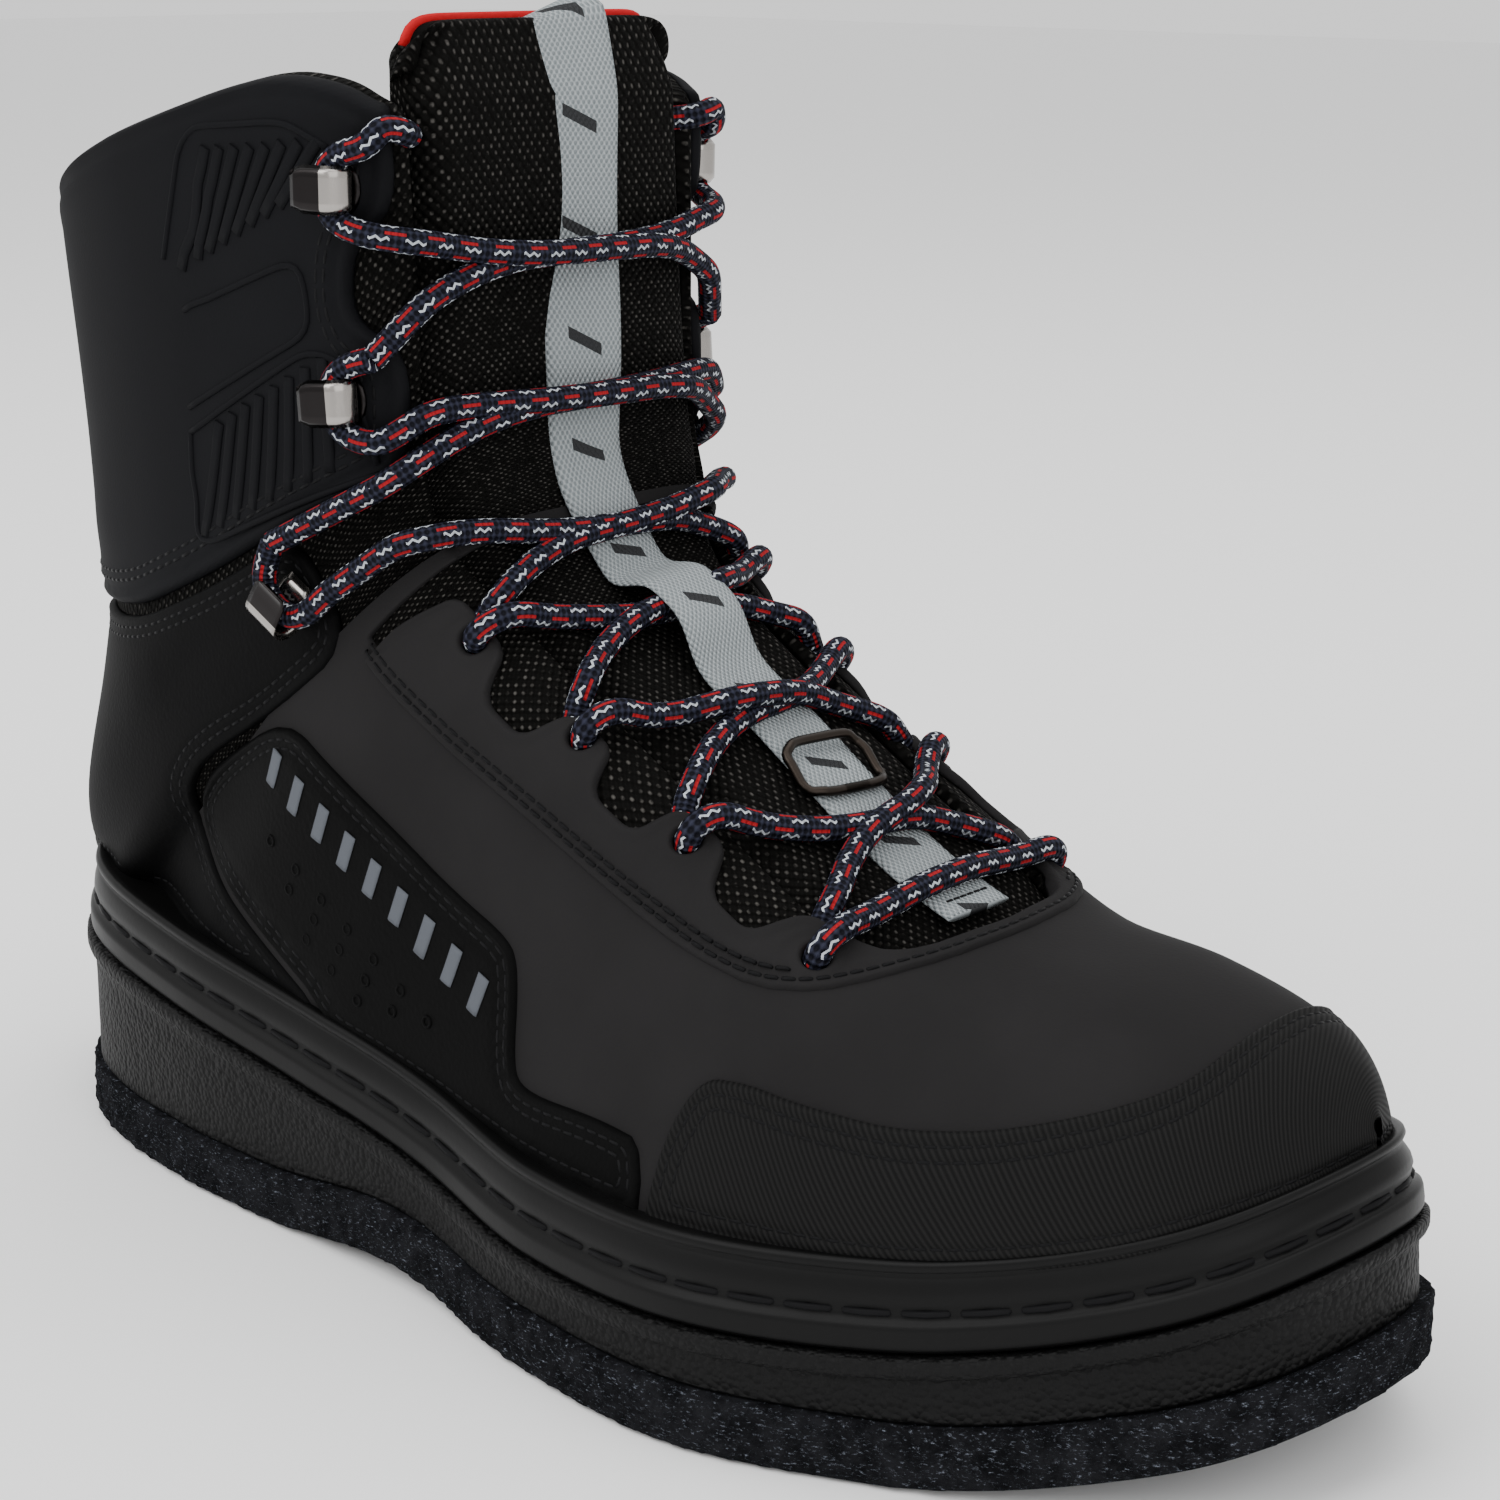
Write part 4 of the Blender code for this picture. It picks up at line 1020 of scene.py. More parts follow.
def make_sole():
    bottom, top = ground(0), ground(FELT_THICKNESS)
    felt_rows = [(0.0012, 0, bottom), (0.0003, 0, ground(0.0004)), (0, 0, ground(0.0012))]
    felt_rows += [(0, 0, between(ground(0.0012), ground(FELT_THICKNESS - 0.0007), k / 9)) for k in range(1, 9)]
    felt_rows += [(0, 0, ground(FELT_THICKNESS - 0.0007)), (0.0006, 0, top)]
    felt, _ = sole_piece("felt_sole", felt_rows, ("felt", "felt"), count=900,
                         rough=0.00045, rough_scale=420.0)
    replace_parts(felt, "felt_outsole")

    low, high = ground(FELT_THICKNESS + GAP), seat(-1.4 * RIDGE_HEIGHT)
    rows = [(MIDSOLE_INSET + 0.0005, 0.3 * TOE_LEAN, low)]
    rows.append((MIDSOLE_INSET, 0.3 * TOE_LEAN, ground(FELT_THICKNESS + 0.0009)))
    for k in range(1, 8):
        rows.append((MIDSOLE_INSET, (0.3 + 0.2 * k / 8) * TOE_LEAN, between(low, high, k / 8)))
    rows.append((MIDSOLE_INSET, 0.5 * TOE_LEAN, high))
    ridge = ((0.0011, -1.30), (0.0003, -1.10), (0.00002, -0.85), (0, -0.5), (0.0001, -0.2), (0.0006, -0.03),
             (0.0014, 0))
    rows += [(inset, 0.5 * TOE_LEAN, seat(share * RIDGE_HEIGHT)) for inset, share in ridge]
    midsole, _ = sole_piece("midsole_side", rows, ("pebble", "midsole_rubber"), count=640,
                            rough=0.00010, rough_scale=700.0)
    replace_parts(midsole, "midsole")

    groove = 0.45 * BAND_HEIGHT
    deep = 0.0013
    profile = [
        # inset, toe lean share, height
        (0.0014, 0.5, GAP), (0.0005, 0.5, 0.0007), (0.0001, 0.52, 0.0014), (0.0, 0.55, 0.0022),
        (0.0, 0.65, groove - 0.0028), (0.0001, 0.7, groove - 0.0020), (0.0006, 0.75, groove - 0.0015),
        (deep, 0.8, groove - 0.0009), (deep + 0.0002, 0.85, groove), (deep, 0.88, groove + 0.0009),
        (0.0012, 0.9, groove + 0.0014), (0.0010, 0.92, groove + 0.0020), (0.0012, 1.0, groove + 0.0035),
        (0.0016, 1.1, BAND_HEIGHT - 0.0040), (0.0020, 1.18, BAND_HEIGHT - 0.0030),
        (0.0024, 1.2, BAND_HEIGHT - 0.0024), (0.0019, 1.2, BAND_HEIGHT - 0.0019),
        (0.0016, 1.2, BAND_HEIGHT - 0.0011), (0.0019, 1.2, BAND_HEIGHT - 0.0003), (0.0027, 1.2, BAND_HEIGHT),
        (0.0040, 1.2, BAND_HEIGHT - 0.0002), (0.0075, 1.2, BAND_HEIGHT - 0.0012),
    ]
    rows = [(BAND_INSET + inset, lean * TOE_LEAN, seat(height)) for inset, lean, height in profile]
    band, made = sole_piece("stitched_band", rows, ("band", "band_rubber"), count=640)
    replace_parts(band, "welt_band")

    line = made[8]
    ahead = unit(np.roll(line, -1, axis=0) - np.roll(line, 1, axis=0))
    out = np.stack([ahead[:, 1], -ahead[:, 0], np.zeros(len(ahead))], 1)
    closed = np.concatenate([line, line[:1]]) + np.concatenate([out, out[:1]]) * 0.0002
    sew("band_stitches", [(closed, np.concatenate([out, out[:1]]))], "band_rubber",
        pitch=0.0098, length=0.0086, width=0.0013, height=0.0011)


def eyestay_edge():
    """Inner and outer edge of the lace stay on the lateral side: (place, around) points."""
    inner = [tuple(row) for row in round_corners(np.array(STAY_TABS), 2, closed=False, share=0.16)]
    outer = [(9.60, 0.390), (9.20, 0.388), (8.20, 0.382), (7.20, 0.375), (6.40, 0.362), (5.60, 0.335),
             (5.00, 0.295), (4.60, 0.240), (4.30, 0.170), (4.06, 0.090), (3.98, 0.020)]
    return inner, outer


def eyestay_field(patch):
    inner, outer = eyestay_edge()
    ring = list(outer) + [(p, -a) for p, a in reversed(outer)]
    hole = list(inner) + [(p, -a) for p, a in reversed(inner)]
    big = polygon_distance(patch.flat, round_corners(map_points(ring), 1))
    small = polygon_distance(patch.flat, map_points(hole))
    return np.minimum(big, -small)


def vamp_field(patch):
    """Charcoal leather: all the foot outside the lace stay's seam, with a little lap under it."""
    ring = [(9.9, 0.372), (9.20, 0.370), (8.20, 0.365), (7.20, 0.358), (6.40, 0.345), (5.60, 0.318),
            (5.00, 0.275), (4.60, 0.220), (4.30, 0.150), (4.16, 0.080), (4.10, 0.010)]
    ring = ring + [(p, -a) for p, a in reversed(ring)]
    inside = polygon_distance(patch.flat, round_corners(map_points(ring), 1))
    behind = [(0.290, 0.800), (0.320, 0.614), (0.338, 0.606), (0.352, 0.540), (0.275, 0.475), (0.205, 0.412),
              (0.175, 0.360), (0.175, 0.295), (0.230, 0.255), (0.310, 0.190), (0.320, 0.020), (1.2, 0.020),
              (1.2, 0.8)]
    return np.minimum(-inside, patch.in_side(behind, 1))


def make_upper():
    whole = Patch(0, TOP_PLACE, 172, 78)
    bottom = whole.above_height(BAND_HEIGHT - 0.009)
    skin = np.minimum(np.minimum(whole.opening(), bottom), whole.around_holes(EYELET_RADIUS))
    base, _ = panel("upper_skin", whole, skin, ("mesh", "upper_leather"), top=0.0, under=-0.0011)
    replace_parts(base, "upper")
    inside = Patch(0, TOP_PLACE, 120, 60)
    cavity = np.minimum(inside.opening(), inside.above_height(0.0005)) - 0.0006
    lining_panel("upper_lining", inside, cavity)

    foot = Patch(0, 10.2, 165, 90)
    vamp = np.minimum(vamp_field(foot), foot.above_height(BAND_HEIGHT - 0.004))
    panel("vamp_leather", foot, vamp, ("vamp", "upper_leather"), top=0.0010, under=-0.0003)

    stays = Patch(3.6, 9.9, 210, 130, reach=0.5)
    stay_shape = np.minimum(eyestay_field(stays), stays.around_holes(EYELET_RADIUS - 0.0003))
    stay, _ = panel("lace_stay", stays, stay_shape, ("vamp", "stay_panel"),
                    top=STAY_TOP, under=0.0002, edge=0.0010, grooves=((0.0024, 0.00030, 0.0009),))
    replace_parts(stay, "eyestay_lateral", "eyestay_medial")
    sew("lace_stay_stitches", stay_rows(), "stay_panel")

    sewn_panel("toe_guard", "toe_guard_stitches", Patch(0, 6.2, 150, 130), TOE_CAP_EDGE, ("toe", "toe_panel"),
               ("toe_cap",), top=0.0023, under=0.0, edge=0.0011, rows=((0.0024, 0.0003), (0.0046, 0.0003)))
    for side, word in ((1, "lateral"), (-1, "medial")):
        ball = Patch(3.6, 11.0, 190, 110)
        sewn_panel("side_panel_" + word, "side_panel_stitches_" + word, ball, RAND_EDGE, ("panel", "side_panel"),
                   ("side_rand_" + word,), top=0.0022, under=0.0002, edge=0.0011,
                   rows=((0.0022, 0.0003), (0.0040, 0.0003)), within=-ball.points[..., 1] * side - 0.004)
    sewn_panel("heel_panel", "heel_panel_stitches", Patch(6.6, 13.4, 150, 108), COUNTER_EDGE,
               ("counter", "heel_panel"), ("heel_counter",), top=0.0018, under=0.0, edge=0.0010,
               rows=((0.0024, 0.0002), (0.0042, 0.0002)), length=0.0022)

    shaft = Patch(9.4, TOP_PLACE, 168, 118)
    field = np.minimum(shaft.in_side(SHAFT_EDGE), shaft.opening() - 0.0004)
    made, seams = panel("shaft_cover", shaft, field, ("shaft", "shaft_mould"), top=0.0024, under=0.0,
                        edge=0.0014, stitches=(0.0048, 0.0066),
                        grooves=((0.0029, 0.0005, 0.0007), (0.0057, -0.0002, 0.0016)))
    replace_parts(made, "shaft_panel")
    sew("shaft_stitches", below_rim(seams), "shaft_mould", pitch=0.0034, length=0.0027)


def sewn_panel(name, sewn, patch, outline, finish, nodes, top, under, edge, rows, within=None, length=0.0023):
    """Panel above the band with rows of stitches in grooves: each row has its depth inside the edge and its own."""
    field = np.minimum(patch.in_side(outline), patch.above_height(BAND_HEIGHT - 0.003))
    if within is not None:
        field = np.minimum(field, within)
    made, seams = panel(name, patch, field, finish, top=top, under=under, edge=edge,
                        stitches=tuple(at for at, _ in rows), grooves=tuple((at, deep, 0.0006) for at, deep in rows))
    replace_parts(made, *nodes)
    sew(sewn, above_band(seams), finish[1], length=length)


def stay_rows():
    """Two rows of stitches that follow the lace stay's outer edge, the outer one right around the throat."""
    half = eyestay_edge()[1]
    path = round_corners(np.array(half + [(p, -a) for p, a in reversed(half)]), 3, closed=False)
    points, normals, _ = frame_at(path[:, 0], path[:, 1])
    inward = unit(np.cross(normals, np.gradient(points, axis=0)))
    middle = len(path) // 2
    if inward[middle] @ (last_points(5.5, 0) - points[middle]) < 0:
        inward = -inward
    holes = np.array([last_points(p, side * a) for p, a in EYELETS for side in (1, -1)])
    kept = []
    for depth, front in ((0.0020, 0.0), (0.0038, 0.13)):
        line = points + inward * depth + normals * STAY_TOP
        line, out, _ = resample(line, normals, 0.0010)
        clear = np.linalg.norm(line[:, None] - holes[None], axis=2).min(1)
        turned = np.interp(np.arange(len(line)), np.linspace(0, len(line) - 1, len(path)), np.abs(path[:, 1]))
        kept += runs(line, out, (clear > EYELET_CLEARANCE) & (turned >= front))
    return kept


def above_band(seams):
    return [run for line, normals in seams
            for run in runs(line, normals, line[:, 2] > seat_height(line[:, 0]) + BAND_HEIGHT + 0.0005)]


def below_rim(seams):
    """Keep the seam lines of the shaft cover that don't follow the collar's rim."""
    rim = COLLAR_LINE * (LENGTH, COLLAR_HEIGHT)
    return [run for line, normals in seams
            for run in runs(line, normals, line[:, 2] < np.interp(line[:, 0], *rim.T) - RIM_CLEARANCE)]


def runs(line, normals, good):
    """Stretches of a line where good holds."""
    found, start = [], None
    for k, ok in enumerate(list(good) + [False]):
        if ok and start is None:
            start = k
        elif not ok and start is not None:
            if k - start > 6:
                found.append((line[start:k], normals[start:k]))
            start = None
    return found


make_sole()
make_upper()


# Tongue, strap, ring, hooks and lace

def throat_at(place):
    return hermite(THROAT[:, 0], THROAT[:, 1], place)


def make_tongue():
    """Padded tongue: it fills the throat, goes under its edges and ends rounded above the collar."""
    shares = np.arange(1, 17) / 16
    rounded = COLLAR + (TONGUE_TO - COLLAR) * np.sin(0.5 * np.pi * shares)
    places = np.concatenate([np.linspace(3.5, COLLAR, 150), rounded])
    top = np.concatenate([np.zeros(150), shares])
    base = columns(150, TONGUE_AROUND)
    arounds = base[None, :] * (1 - TONGUE_TAPER * top[:, None] ** 1.3)
    dip = 0.62 * np.abs(base / TONGUE_AROUND) ** 5
    bent = np.where(places[:, None] > COLLAR, COLLAR + (places[:, None] - COLLAR) * (1 - dip), places[:, None])
    points, normals, _ = frame_at(bent, arounds)
    points[..., 0] -= TONGUE_LEAN * (np.maximum(places - COLLAR, 0) / (TONGUE_TO - COLLAR))[:, None]
    lengths = ring_lengths(points, len(base) // 2)
    edge = np.array([np.interp(throat_at(p), base[base >= 0], row[base >= 0]) for p, row in zip(places, lengths)])
    low = (wall_at(places) + GAP)[:, None]
    rise = (low - TONGUE_SINK) * smooth((places - TONGUE_FREE) / (TONGUE_TO - TONGUE_FREE))[:, None]
    free = smooth((edge[:, None] - np.abs(lengths)) / 0.008) * smooth((places - 4.3) / 0.5)[:, None]
    outer = np.minimum(low - (low - TONGUE_SINK) * free, low - rise)
    inner = low + TONGUE_THICKNESS - rise
    sides = 1 - (np.abs(base) / TONGUE_AROUND)[None, :] ** 14
    ends = 1 - np.clip((top - 0.72) / 0.28, 0, 1) ** 2
    ends[0] = 0
    plump = np.sqrt(sides * ends[:, None])
    middle, half = (outer + inner) / 2, (inner - outer) / 2
    wave = surface_wave(points.reshape(-1, 3)).reshape(half.shape)
    face = points - normals * (middle - half * plump - wave)[..., None]
    back = points - normals * (middle + half * plump)[..., None]
    loops = np.concatenate([face, back[:, ::-1]], axis=1)
    along = np.broadcast_to(places[:, None] * PLACE_MM, lengths.shape)
    flat = np.stack([np.concatenate([along, along], 1), np.concatenate([lengths, lengths[:, ::-1]], 1)], -1)
    tongue = mesh_object("padded_tongue", loops.reshape(-1, 3), ring_faces(*loops.shape[:2]),
                         ("tongue", "tongue_weave"), uvs=flat.reshape(-1, 2))
    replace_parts(tongue, "tongue")
    line = back[-3, 5:-5] - normals[-3, 5:-5] * 0.0006
    line, out, _ = resample(smooth_line(line, 6), np.tile((-1.0, 0, 0.3), (len(line), 1)), 0.0015)
    bead, quads = sweep(line, out, ellipse(0.0030, 0.0018, 10))
    mesh_object("tongue_trim", bead, quads, ("red", "tongue_weave"))
    return points, normals, places, len(base) // 2


def strap_points(points, normals, places, middle):
    """Line of the strap: over the laces at one crossing, under the others, and a loop over the top."""
    keep = places >= 4.42
    line, out, place = points[keep, middle], normals[keep, middle], places[keep]
    lift = STRAP_THICKNESS / 2 + 0.0002 - TONGUE_SINK
    lift = lift + 0.0070 * np.exp(-((place - 7.95) / 0.56) ** 4) + 0.0006 * np.sin(place * 2.1)
    sway = 0.0022 * np.sin((place - 5) * 0.75)
    line = line + out * lift[:, None] + np.array((0, 1, 0)) * sway[:, None]
    end, away = line[-1], out[-1]
    radius = TONGUE_THICKNESS / 2 + 0.0010
    turns = np.linspace(0.06, 1, 14) * np.pi
    rise = np.array((0, 0, 0.35))
    loop = [end - away * radius + radius * (away * math.cos(a) + rise * math.sin(a)) for a in turns]
    behind = [loop[-1] + np.array((-0.0002 * k, -0.0005 * k, -0.0028 * k)) for k in range(1, 9)]
    whole = np.array(list(line) + loop + behind)
    turned = list(out) + [away * math.cos(a) + np.array((0, 0, 1.0)) * math.sin(a) for a in turns]
    turned = np.array(turned + [-away] * len(behind))
    turned[:, 1] -= 0.28 * smooth((whole[:, 2] - 0.13) / 0.06)
    return resample(smooth_line(whole, 3), smooth_line(turned, 3), 0.0012)


def band_profile(width, thickness, count=13):
    """Flat band with soft edges, as (across, out) points."""
    across = np.linspace(-0.5, 0.5, count) * width
    soft = 0.5 * thickness * (1 - (2 * across / width) ** 8 * 0.75)
    return np.concatenate([np.stack([across, soft], 1), np.stack([across[::-1], -soft[::-1]], 1)])


def seamless(line, normals, profile, across_values):
    """Sweep with a seam column, and flat coordinates: length along and the given values across."""
    profile = np.concatenate([profile, profile[:1]])
    points, faces = sweep(line, normals, profile)
    flat = np.stack([np.repeat(lengths_along(line), len(profile)), np.tile(across_values, len(line))], 1)
    count = len(profile)
    faces = [f for f in faces if len(f) > 4 or abs(f[0] - f[3]) != count - 1]
    return points, faces, flat


def make_strap(tongue):
    line, out, _ = strap_points(*tongue)
    profile = band_profile(STRAP_WIDTH, STRAP_THICKNESS)
    values = np.concatenate([profile[:, 0], profile[:1, 0]])
    points, faces, flat = seamless(line, out, profile, values)
    strap = mesh_object("pull_webbing", points, faces, ("strap", "strap_webbing"), uvs=flat)
    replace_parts(strap, "pull_strap")
    right = np.cross(out[3], unit(line[5] - line[3]))
    seam = np.array([line[3] + right * w for w in np.linspace(-0.0062, 0.0062, 12)])
    sew("strap_end_stitches", [(seam + out[3] * 0.0009, np.tile(out[3], (12, 1)))], "strap_webbing",
        pitch=0.0019, length=0.0015, width=0.0005, height=0.0003)
    return line, out


def make_keeper(line, out):
    """Bent wire ring around the strap."""
    target = last_points(6.1, 0)
    k = int(np.argmin(np.linalg.norm(line - target, axis=1)))
    point, normal = line[k], out[k]
    along = unit(line[k + 2] - line[k - 2])
    right = np.cross(along, normal)
    corners = np.array([(-0.0097, -0.0052), (0.0097, -0.0066), (0.0102, 0.0052), (-0.0092, 0.0064)])
    corners = round_corners(corners, 3, share=0.16)
    loop = []
    for x, y in np.concatenate([corners, corners[:2]]):
        height = 0.0028 if y > 0 else 0.0018
        drop = 0.0010 * smooth((abs(x) - 0.0076) / 0.002)
        loop.append(point + right * x + along * y + normal * (height - drop))
    loop = np.array(loop)
    points, faces = sweep(loop, np.tile(normal, (len(loop), 1)), ellipse(0.0019, 0.0017, 10), closed_ends=False)
    ring = mesh_object("strap_ring", points, faces, ("bronze", "ring_metal"))
    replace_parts(ring, "lace_keeper")


def hook_axes(place, around, tilt, side):
    point, out, up = frame_at(place, side * around)
    heel = np.cross(out, up) * side
    turn = math.radians(-tilt)
    back = heel * math.cos(turn) + up * math.sin(turn)
    rise = up * math.cos(turn) - heel * math.sin(turn)
    return point, back, rise, out


def make_hooks():
    """Hooks folded from polished plate: base, round bend and a lip with soft corners."""
    thick = 0.00085
    for name, place, around, tilt in HOOKS:
        facing = -1 if name == "hook_ankle" else 1
        for side, word in ((1, "lateral"), (-1, "medial")):
            point, back, rise, out = hook_axes(place, around, tilt, side)
            half_turn = np.linspace(0, math.pi, 15)
            bend = [(-0.0012 - 0.0031 * math.sin(a), 0.0041 - 0.0031 * math.cos(a)) for a in half_turn]
            path = [(0.0052, 0.0010), (0.0030, 0.0010), (0.0008, 0.0010)] + bend
            path += [(0.0012, 0.0072), (0.0030, 0.0071), (0.0042, 0.0073), (0.0048, 0.0078)]
            path = np.array(path) * (facing, 1)
            widths = np.interp(np.arange(len(path)), (0, 1.5, len(path) - 3, len(path) - 1),
                               (0.0052, 0.0086, 0.0084, 0.0060))
            path[:, 1] += PANEL + 0.0006
            spread = np.linspace(-0.5, 0.5, 9)
            ahead = unit(np.gradient(path, axis=0))
            turned = np.stack([ahead[:, 1], -ahead[:, 0]], 1) * thick / 2
            layers = []
            for sign in (1, -1):
                flat = path + sign * turned
                layers.append(np.array([
                    [point + back * x + out * z + rise * w * width for w in spread]
                    for (x, z), width in zip(flat, widths)
                ]))
            front, rear = layers
            rear[[0, -1]] = front[[0, -1]]
            rear[:, [0, -1]] = front[:, [0, -1]]
            n, m = front.shape[:2]
            faces = []
            for i in range(n - 1):
                for j in range(m - 1):
                    quad = (i * m + j, i * m + j + 1, (i + 1) * m + j + 1, (i + 1) * m + j)
                    faces += [quad, tuple(v + n * m for v in quad[::-1])]
            shell = np.concatenate([front.reshape(-1, 3), rear.reshape(-1, 3)])
            made = mesh_object("folded_" + name + "_" + word, shell, faces, ("nickel", "hook_metal"))
            # second material: the dark metal, put on the nickel lip as a painted dark reflection and shade
            made.data.materials.append(SHADERS["dark_metal_and_painted_lip_reflection"])
            for face in made.data.polygons:
                inward = Vector(face.center) + Vector((HEEL_REST, 0, 0)) - Vector(point)
                lip = inward.dot(Vector(out)) > PANEL + 0.0064
                face.material_index = int(lip and inward.dot(Vector(back)) * facing > -0.0012)
            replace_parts(made, name + "_" + word)
            turns = np.linspace(0, 2 * np.pi, 19)
            ahead = back * (-0.6 * facing)
            claw = np.array([
                point + ahead * (0.0022 + 0.0046 * math.sin(a)) + rise * 0.0040 * math.cos(a)
                + out * (PANEL + 0.0012) for a in turns
            ])
            points, quads = sweep(claw, np.tile(out, (19, 1)), ellipse(0.0016, 0.0012, 8), closed_ends=False)
            mesh_object("rivet_" + name + "_" + word, points, quads, ("dark_metal_and_painted_lip_reflection", "hook_metal"))


def rest_height(place, around):
    """Height of a lace's middle where it lies on the boot: on the panels, the tongue or the strap."""
    inside = smooth((throat_at(place) - np.abs(around)) / 0.04 + 0.5)
    on_panel = PANEL + 0.0011
    height = on_panel * (1 - inside) - 0.0005 * inside
    return height + 0.95 * LACE_RADIUS


def run_points(start, end, side, over, tall):
    """Lace over the throat, from a side at one level to the other side at the next, as 3-D points."""
    t = np.linspace(0, 1, 27)
    place = start[0] + (end[0] - start[0]) * t
    around = side * (start[1] - (start[1] + end[1]) * t)
    point, out, _ = frame_at(place, around)
    height = rest_height(place, around)
    strap = smooth((0.0115 - np.abs(point[:, 1])) / 0.005)
    height = height + tall * strap
    if over:
        height = height + 1.75 * LACE_RADIUS * np.exp(-((t - 0.5) / 0.10) ** 2)
    for _ in range(4):
        height[1:-1] = np.maximum(height[1:-1], 0.5 * (height[:-2] + height[2:]))
    return point + out * height[:, None]


def wrap_points(hook, side):
    """Lace around a hook, from below it to above it."""
    _, place, around, tilt = hook
    point, back, rise, out = hook_axes(place, around, tilt, side)
    rows = [
        # up, towards the heel, out, in millimetres
        (-7.6, -8.5, 4.6), (-6.6, -3.8, 5.2), (-4.6, -0.4, 5.6), (0.0, 0.9, 5.7), (4.6, -0.4, 5.6),
        (6.6, -3.8, 5.2), (7.4, -8.5, 4.6),
    ]
    return np.array([point + rise * u * MM + back * w * MM + out * n * MM for u, w, n in rows])


def hole_points(place, around, side):
    """Lace that goes over the lace stay and down into an eyelet."""
    more, height = np.array([(-0.030, 0.0043), (-0.006, 0.0034), (0.001, 0.0008), (0, -0.0036)]).T
    return above(place, side * (around + more), height)


def under_points(place, tab, side):
    """Lace that comes out from under a tab of the lace stay."""
    up, more, height = np.array([(0.10, 0.035, -0.0012), (0.20, 0.004, -0.0004), (0.27, -0.026, 0.0017)]).T
    return above(place + up, side * (tab + more), height)


def lace_mesh(name, runs):
    """Tubes through the runs' points, with length and turn as flat coordinates."""
    tubes = Pile()
    count = 16
    stripes = np.linspace(0, 10, count + 1)
    profile = ellipse(2 * LACE_RADIUS, 2 * LACE_RADIUS, count)
    for line in runs:
        line = smooth_line(resample(line, line, 0.0015)[0], 3)
        line = resample(line, line, 0.0010)[0]
        tangents = unit(np.gradient(line, axis=0))
        turned = [np.cross(tangents[0], (0.3, 0.9, 0.1))]
        for tangent in tangents[1:]:
            turned.append(turned[-1] - (turned[-1] @ tangent) * tangent)
        tube, quads, flat = seamless(line, unit(np.array(turned)), profile, stripes)
        tubes.add(tube, quads, flat + (0.0037 * tubes.count, 0))
    return tubes.mesh(name, ("lace", "lace_cord"))


def make_laces():
    """The lace: a bar at the lowest eyelets, then crossings from level to level up to the top hooks."""
    place, around = EYELETS[0]
    bar = run_points((place, around - 0.04), (place, around - 0.04), 1, False, 0.0012)
    runs = {"lace_bar": [np.concatenate([
        hole_points(place, around, 1)[::-1], bar[2:-2], hole_points(place, around, -1)])]}
    for k in range(6):
        runs[f"lace_cross_{k + 1}"] = []
        for side in (1, -1):
            if k < 4:
                place, around = EYELETS[k]
                start = under_points(place, TAB_EDGES[k], side)
                leave = (place + 0.30, TAB_EDGES[k] - 0.040)
            else:
                hook = HOOKS[k - 4]
                start = wrap_points(hook, side)[-1:]
                leave = (hook[1] + 0.50, hook[2] - 0.150)
            if k < 3:
                place, around = EYELETS[k + 1]
                finish = hole_points(place, around, -side)
                arrive = (place - 0.02, around - 0.060)
            else:
                hook = HOOKS[k - 3]
                finish = wrap_points(hook, -side)
                arrive = (hook[1] - 0.50, hook[2] - 0.150)
            tall = 0.0012 if k != 2 else -0.0006
            middle = run_points(leave, arrive, side, side == OVER_SIDES[k], tall)
            run = np.concatenate([start, middle[1:-1], finish])
            if k == 5:
                run = np.concatenate([run, above(LACE_TAIL[:, 0], -side * LACE_TAIL[:, 1], LACE_TAIL[:, 2])])
            runs[f"lace_cross_{k + 1}"].append(run)
    for name, found in runs.items():
        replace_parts(lace_mesh(name.replace("lace_", "braid_"), found), name)


# Embossed forms, dimples and marks

def side_mm(u, v):
    """Place in side view, in millimetres, of a point that the shaft's pattern has in the photo."""
    return 72 + (u - 150) * 0.27, 185 - (v - 240) * 0.18 + (u - 150) * 0.02


SHAFT_LINES = [
    # outlines of the embossed pattern
    [(152, 252), (176, 132), (188, 121), (284, 119), (322, 146)],
    [(172, 304), (286, 254), (296, 262), (302, 318), (292, 330), (172, 404)],
    [(172, 430), (232, 388), (300, 340), (332, 354), (350, 452)],
    [(172, 430), (172, 556), (352, 462)],
]


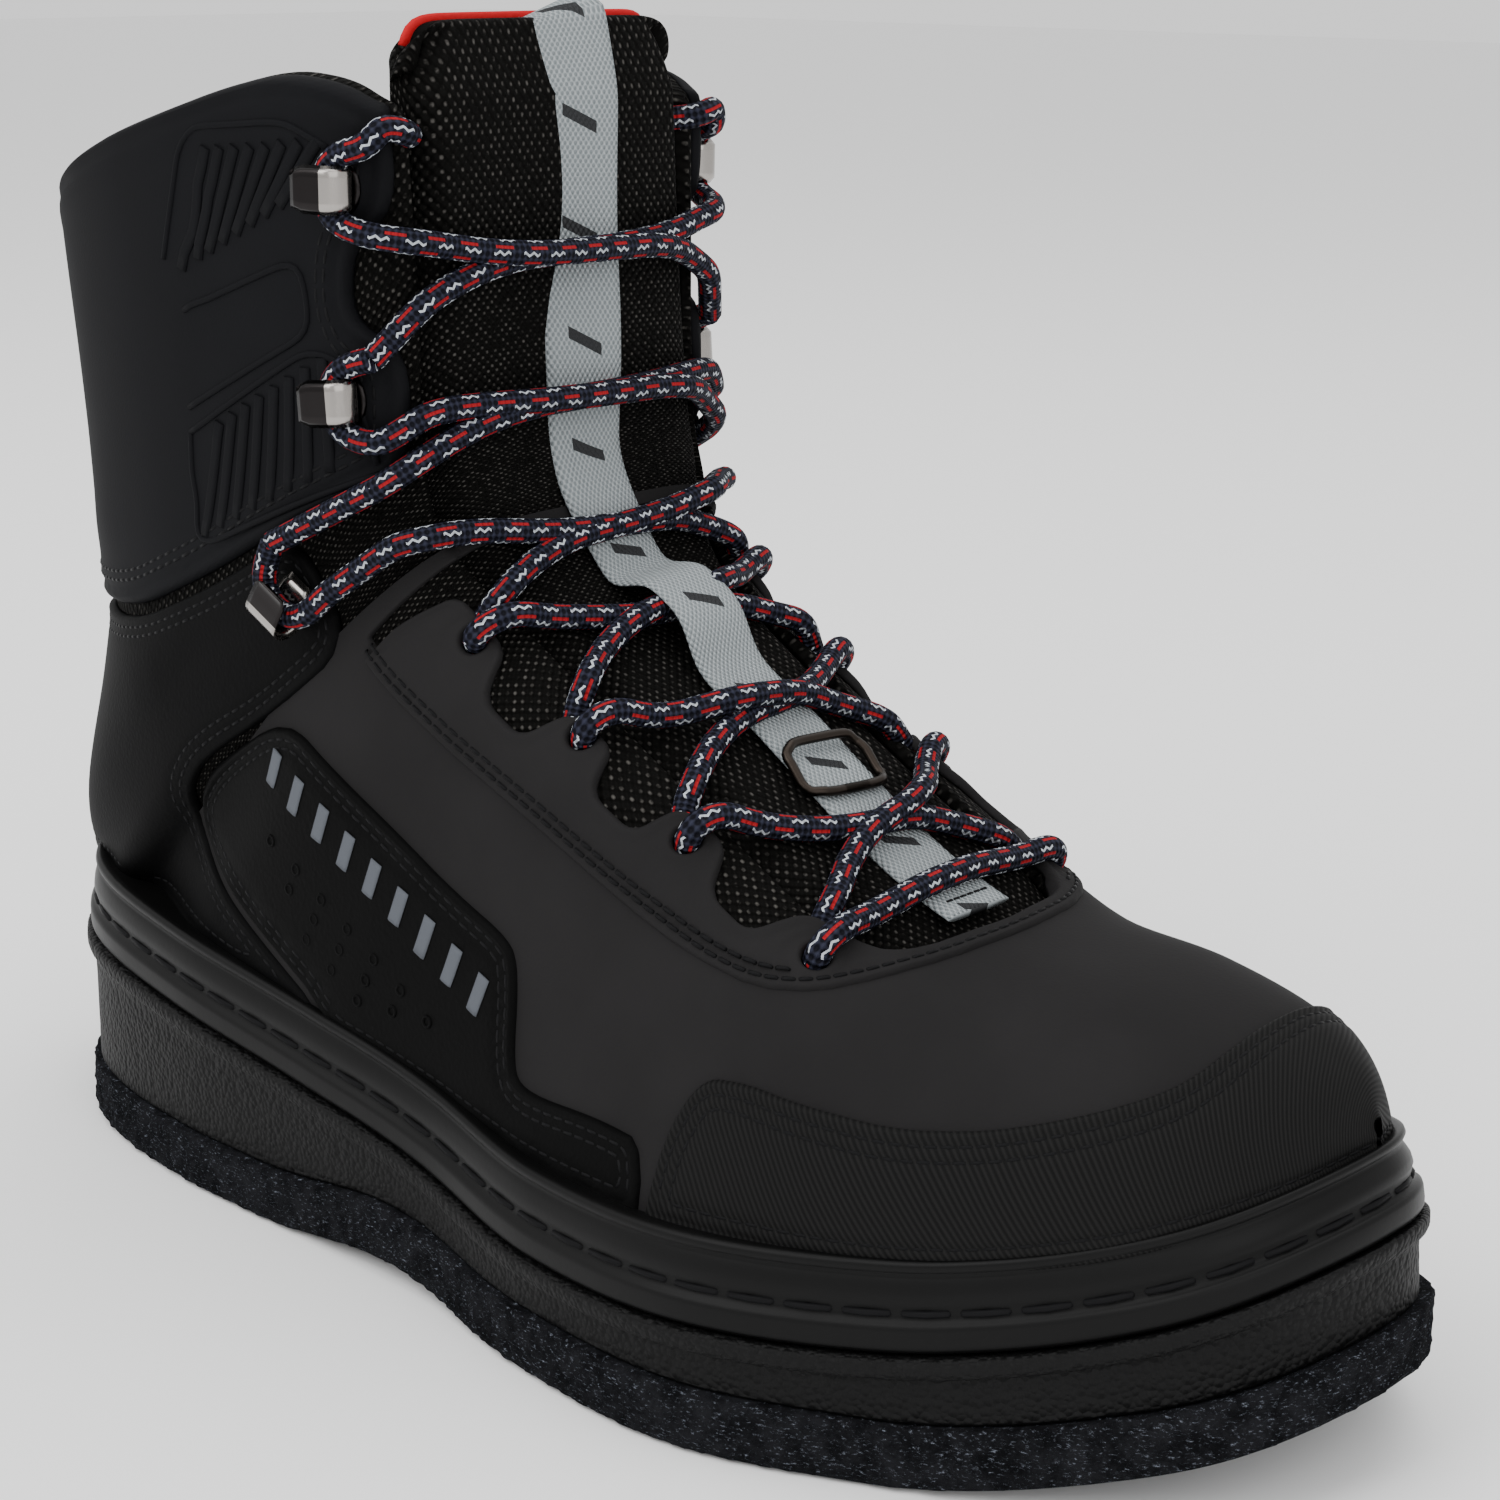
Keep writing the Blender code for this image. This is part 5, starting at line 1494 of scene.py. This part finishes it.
def make_relief():
    embossed = Pile()
    ribs = [((202 + 16 * k, 142 - 2 * (k > 4)), (172 + 15 * k, 262 - 9 * k)) for k in range(8)]
    ribs += [((206 + 15 * k, 418 - 10 * k), (184 + 19 * k, 538 - 11 * k)) for k in range(8)]
    for side in (1, -1):
        for path in SHAFT_LINES:
            corners = round_corners(path, 2, closed=False, share=0.10)
            line, out = on_side([side_mm(u, v) for u, v in corners], side, 0.0024)
            embossed.add(*sweep(smooth_line(line, 2), out, ellipse(0.0013, 0.0011)))
        for ends in ribs:
            line, out = on_side([side_mm(u, v) for u, v in ends], side, 0.0025, spacing=0.003)
            embossed.add(*sweep(line, out, band_profile(0.0026, 0.0009, 7)))
    embossed.mesh("shaft_relief", ("shaft", "shaft_mould"))

    dimples, marks = Pile(), Pile()
    spots = [(99 + 7.4 * k + 5.2 * j, 76.5 - 4.1 * k - 8.6 * j) for j, n in enumerate((7, 5, 3)) for k in range(n)]
    turns = np.linspace(0, 2 * np.pi, 13)
    for side in (1, -1):
        for x, z in spots:
            point, out, up = frame_at(*find(x * MM, z * MM, side))
            right = np.cross(up, out)
            ring = [point + out * 0.0022 + 0.0010 * (right * math.cos(a) + up * math.sin(a)) for a in turns]
            dimples.add(*sweep(ring, np.tile(out, (13, 1)), ellipse(0.0007, 0.0006, 6), closed_ends=False))
        for k in range(9):
            x, z = 99 + 7.2 * k, 90 - 3.7 * k
            line, out = on_side([(x - 1.3, z - 3.4), (x + 1.3, z + 3.4)], side, 0.0023, spacing=0.001)
            marks.add(*sweep(line, out, band_profile(0.0030, 0.0005, 7)))
    dimples.mesh("side_dimples", ("panel", "side_panel"))
    marks.mesh("side_marks", ("grey", "side_panel"))


tongue_grid = make_tongue()
strap_line, strap_out = make_strap(tongue_grid)
make_keeper(strap_line, strap_out)
make_hooks()
make_laces()
make_relief()
insole = bpy.data.objects["insole"]
insole.data.materials.clear()
insole.data.materials.append(SHADERS["lining"])


# Stage, light and camera

def make_stage():
    mesh = bpy.data.meshes.new("floor")
    size = 6.0
    mesh.from_pydata([(-size, -size, 0), (size, -size, 0), (size, size, 0), (-size, size, 0)], [], [(0, 1, 2, 3)])
    floor = bpy.data.objects.new("floor", mesh)
    bpy.context.scene.collection.objects.link(floor)
    floor.location.z = -0.0004
    mesh.materials.append(Shader("pale_floor", (0.93, 0.93, 0.93), 0.8).material)
    world = bpy.data.worlds.new("studio")
    bpy.context.scene.world = world
    world.use_nodes = True
    world.node_tree.nodes["Background"].inputs["Color"].default_value = (1, 1, 1, 1)
    world.node_tree.nodes["Background"].inputs["Strength"].default_value = 1.1
    for name, place, size, power in (
        ("key", (-0.3, -1.1, 1.3), 1.2, 16.0), ("fill", (1.3, -0.7, 0.9), 1.4, 9.0),
        ("top", (0.1, 0.3, 1.6), 1.4, 12.0),
    ):
        lamp = bpy.data.lights.new(name, "AREA")
        lamp.size = size
        lamp.energy = power
        made = bpy.data.objects.new(name, lamp)
        made.location = place
        made.rotation_euler = (Vector((0.1, 0, 0.1)) - Vector(place)).to_track_quat("-Z", "Y").to_euler()
        bpy.context.scene.collection.objects.link(made)


CAMERA_PLACE = (0.50745 - HEEL_REST, -0.38982, 0.24266)
CAMERA_TURNS = (40.2387, 15.6929, 0.4864)
FOCAL_PIXELS = 2929.7
PHOTO_PIXELS = 1500


def make_camera():
    azimuth, elevation, roll = (math.radians(turn) for turn in CAMERA_TURNS)
    level = math.cos(elevation)
    back = Vector((math.sin(azimuth) * level, -math.cos(azimuth) * level, math.sin(elevation)))
    right = Vector((math.cos(azimuth), math.sin(azimuth), 0))
    up = back.cross(right)
    rolled_right = math.cos(roll) * right + math.sin(roll) * up
    rolled_up = math.cos(roll) * up - math.sin(roll) * right
    turn = Matrix((rolled_right, rolled_up, back)).transposed()
    data = bpy.data.cameras.new("camera")
    data.sensor_width = 36.0
    data.lens = FOCAL_PIXELS * data.sensor_width / PHOTO_PIXELS
    data.clip_start = 0.01
    camera = bpy.data.objects.new("camera", data)
    camera.matrix_world = Matrix.Translation(CAMERA_PLACE) @ turn.to_4x4()
    bpy.context.scene.collection.objects.link(camera)
    bpy.context.scene.camera = camera


make_stage()
make_camera()
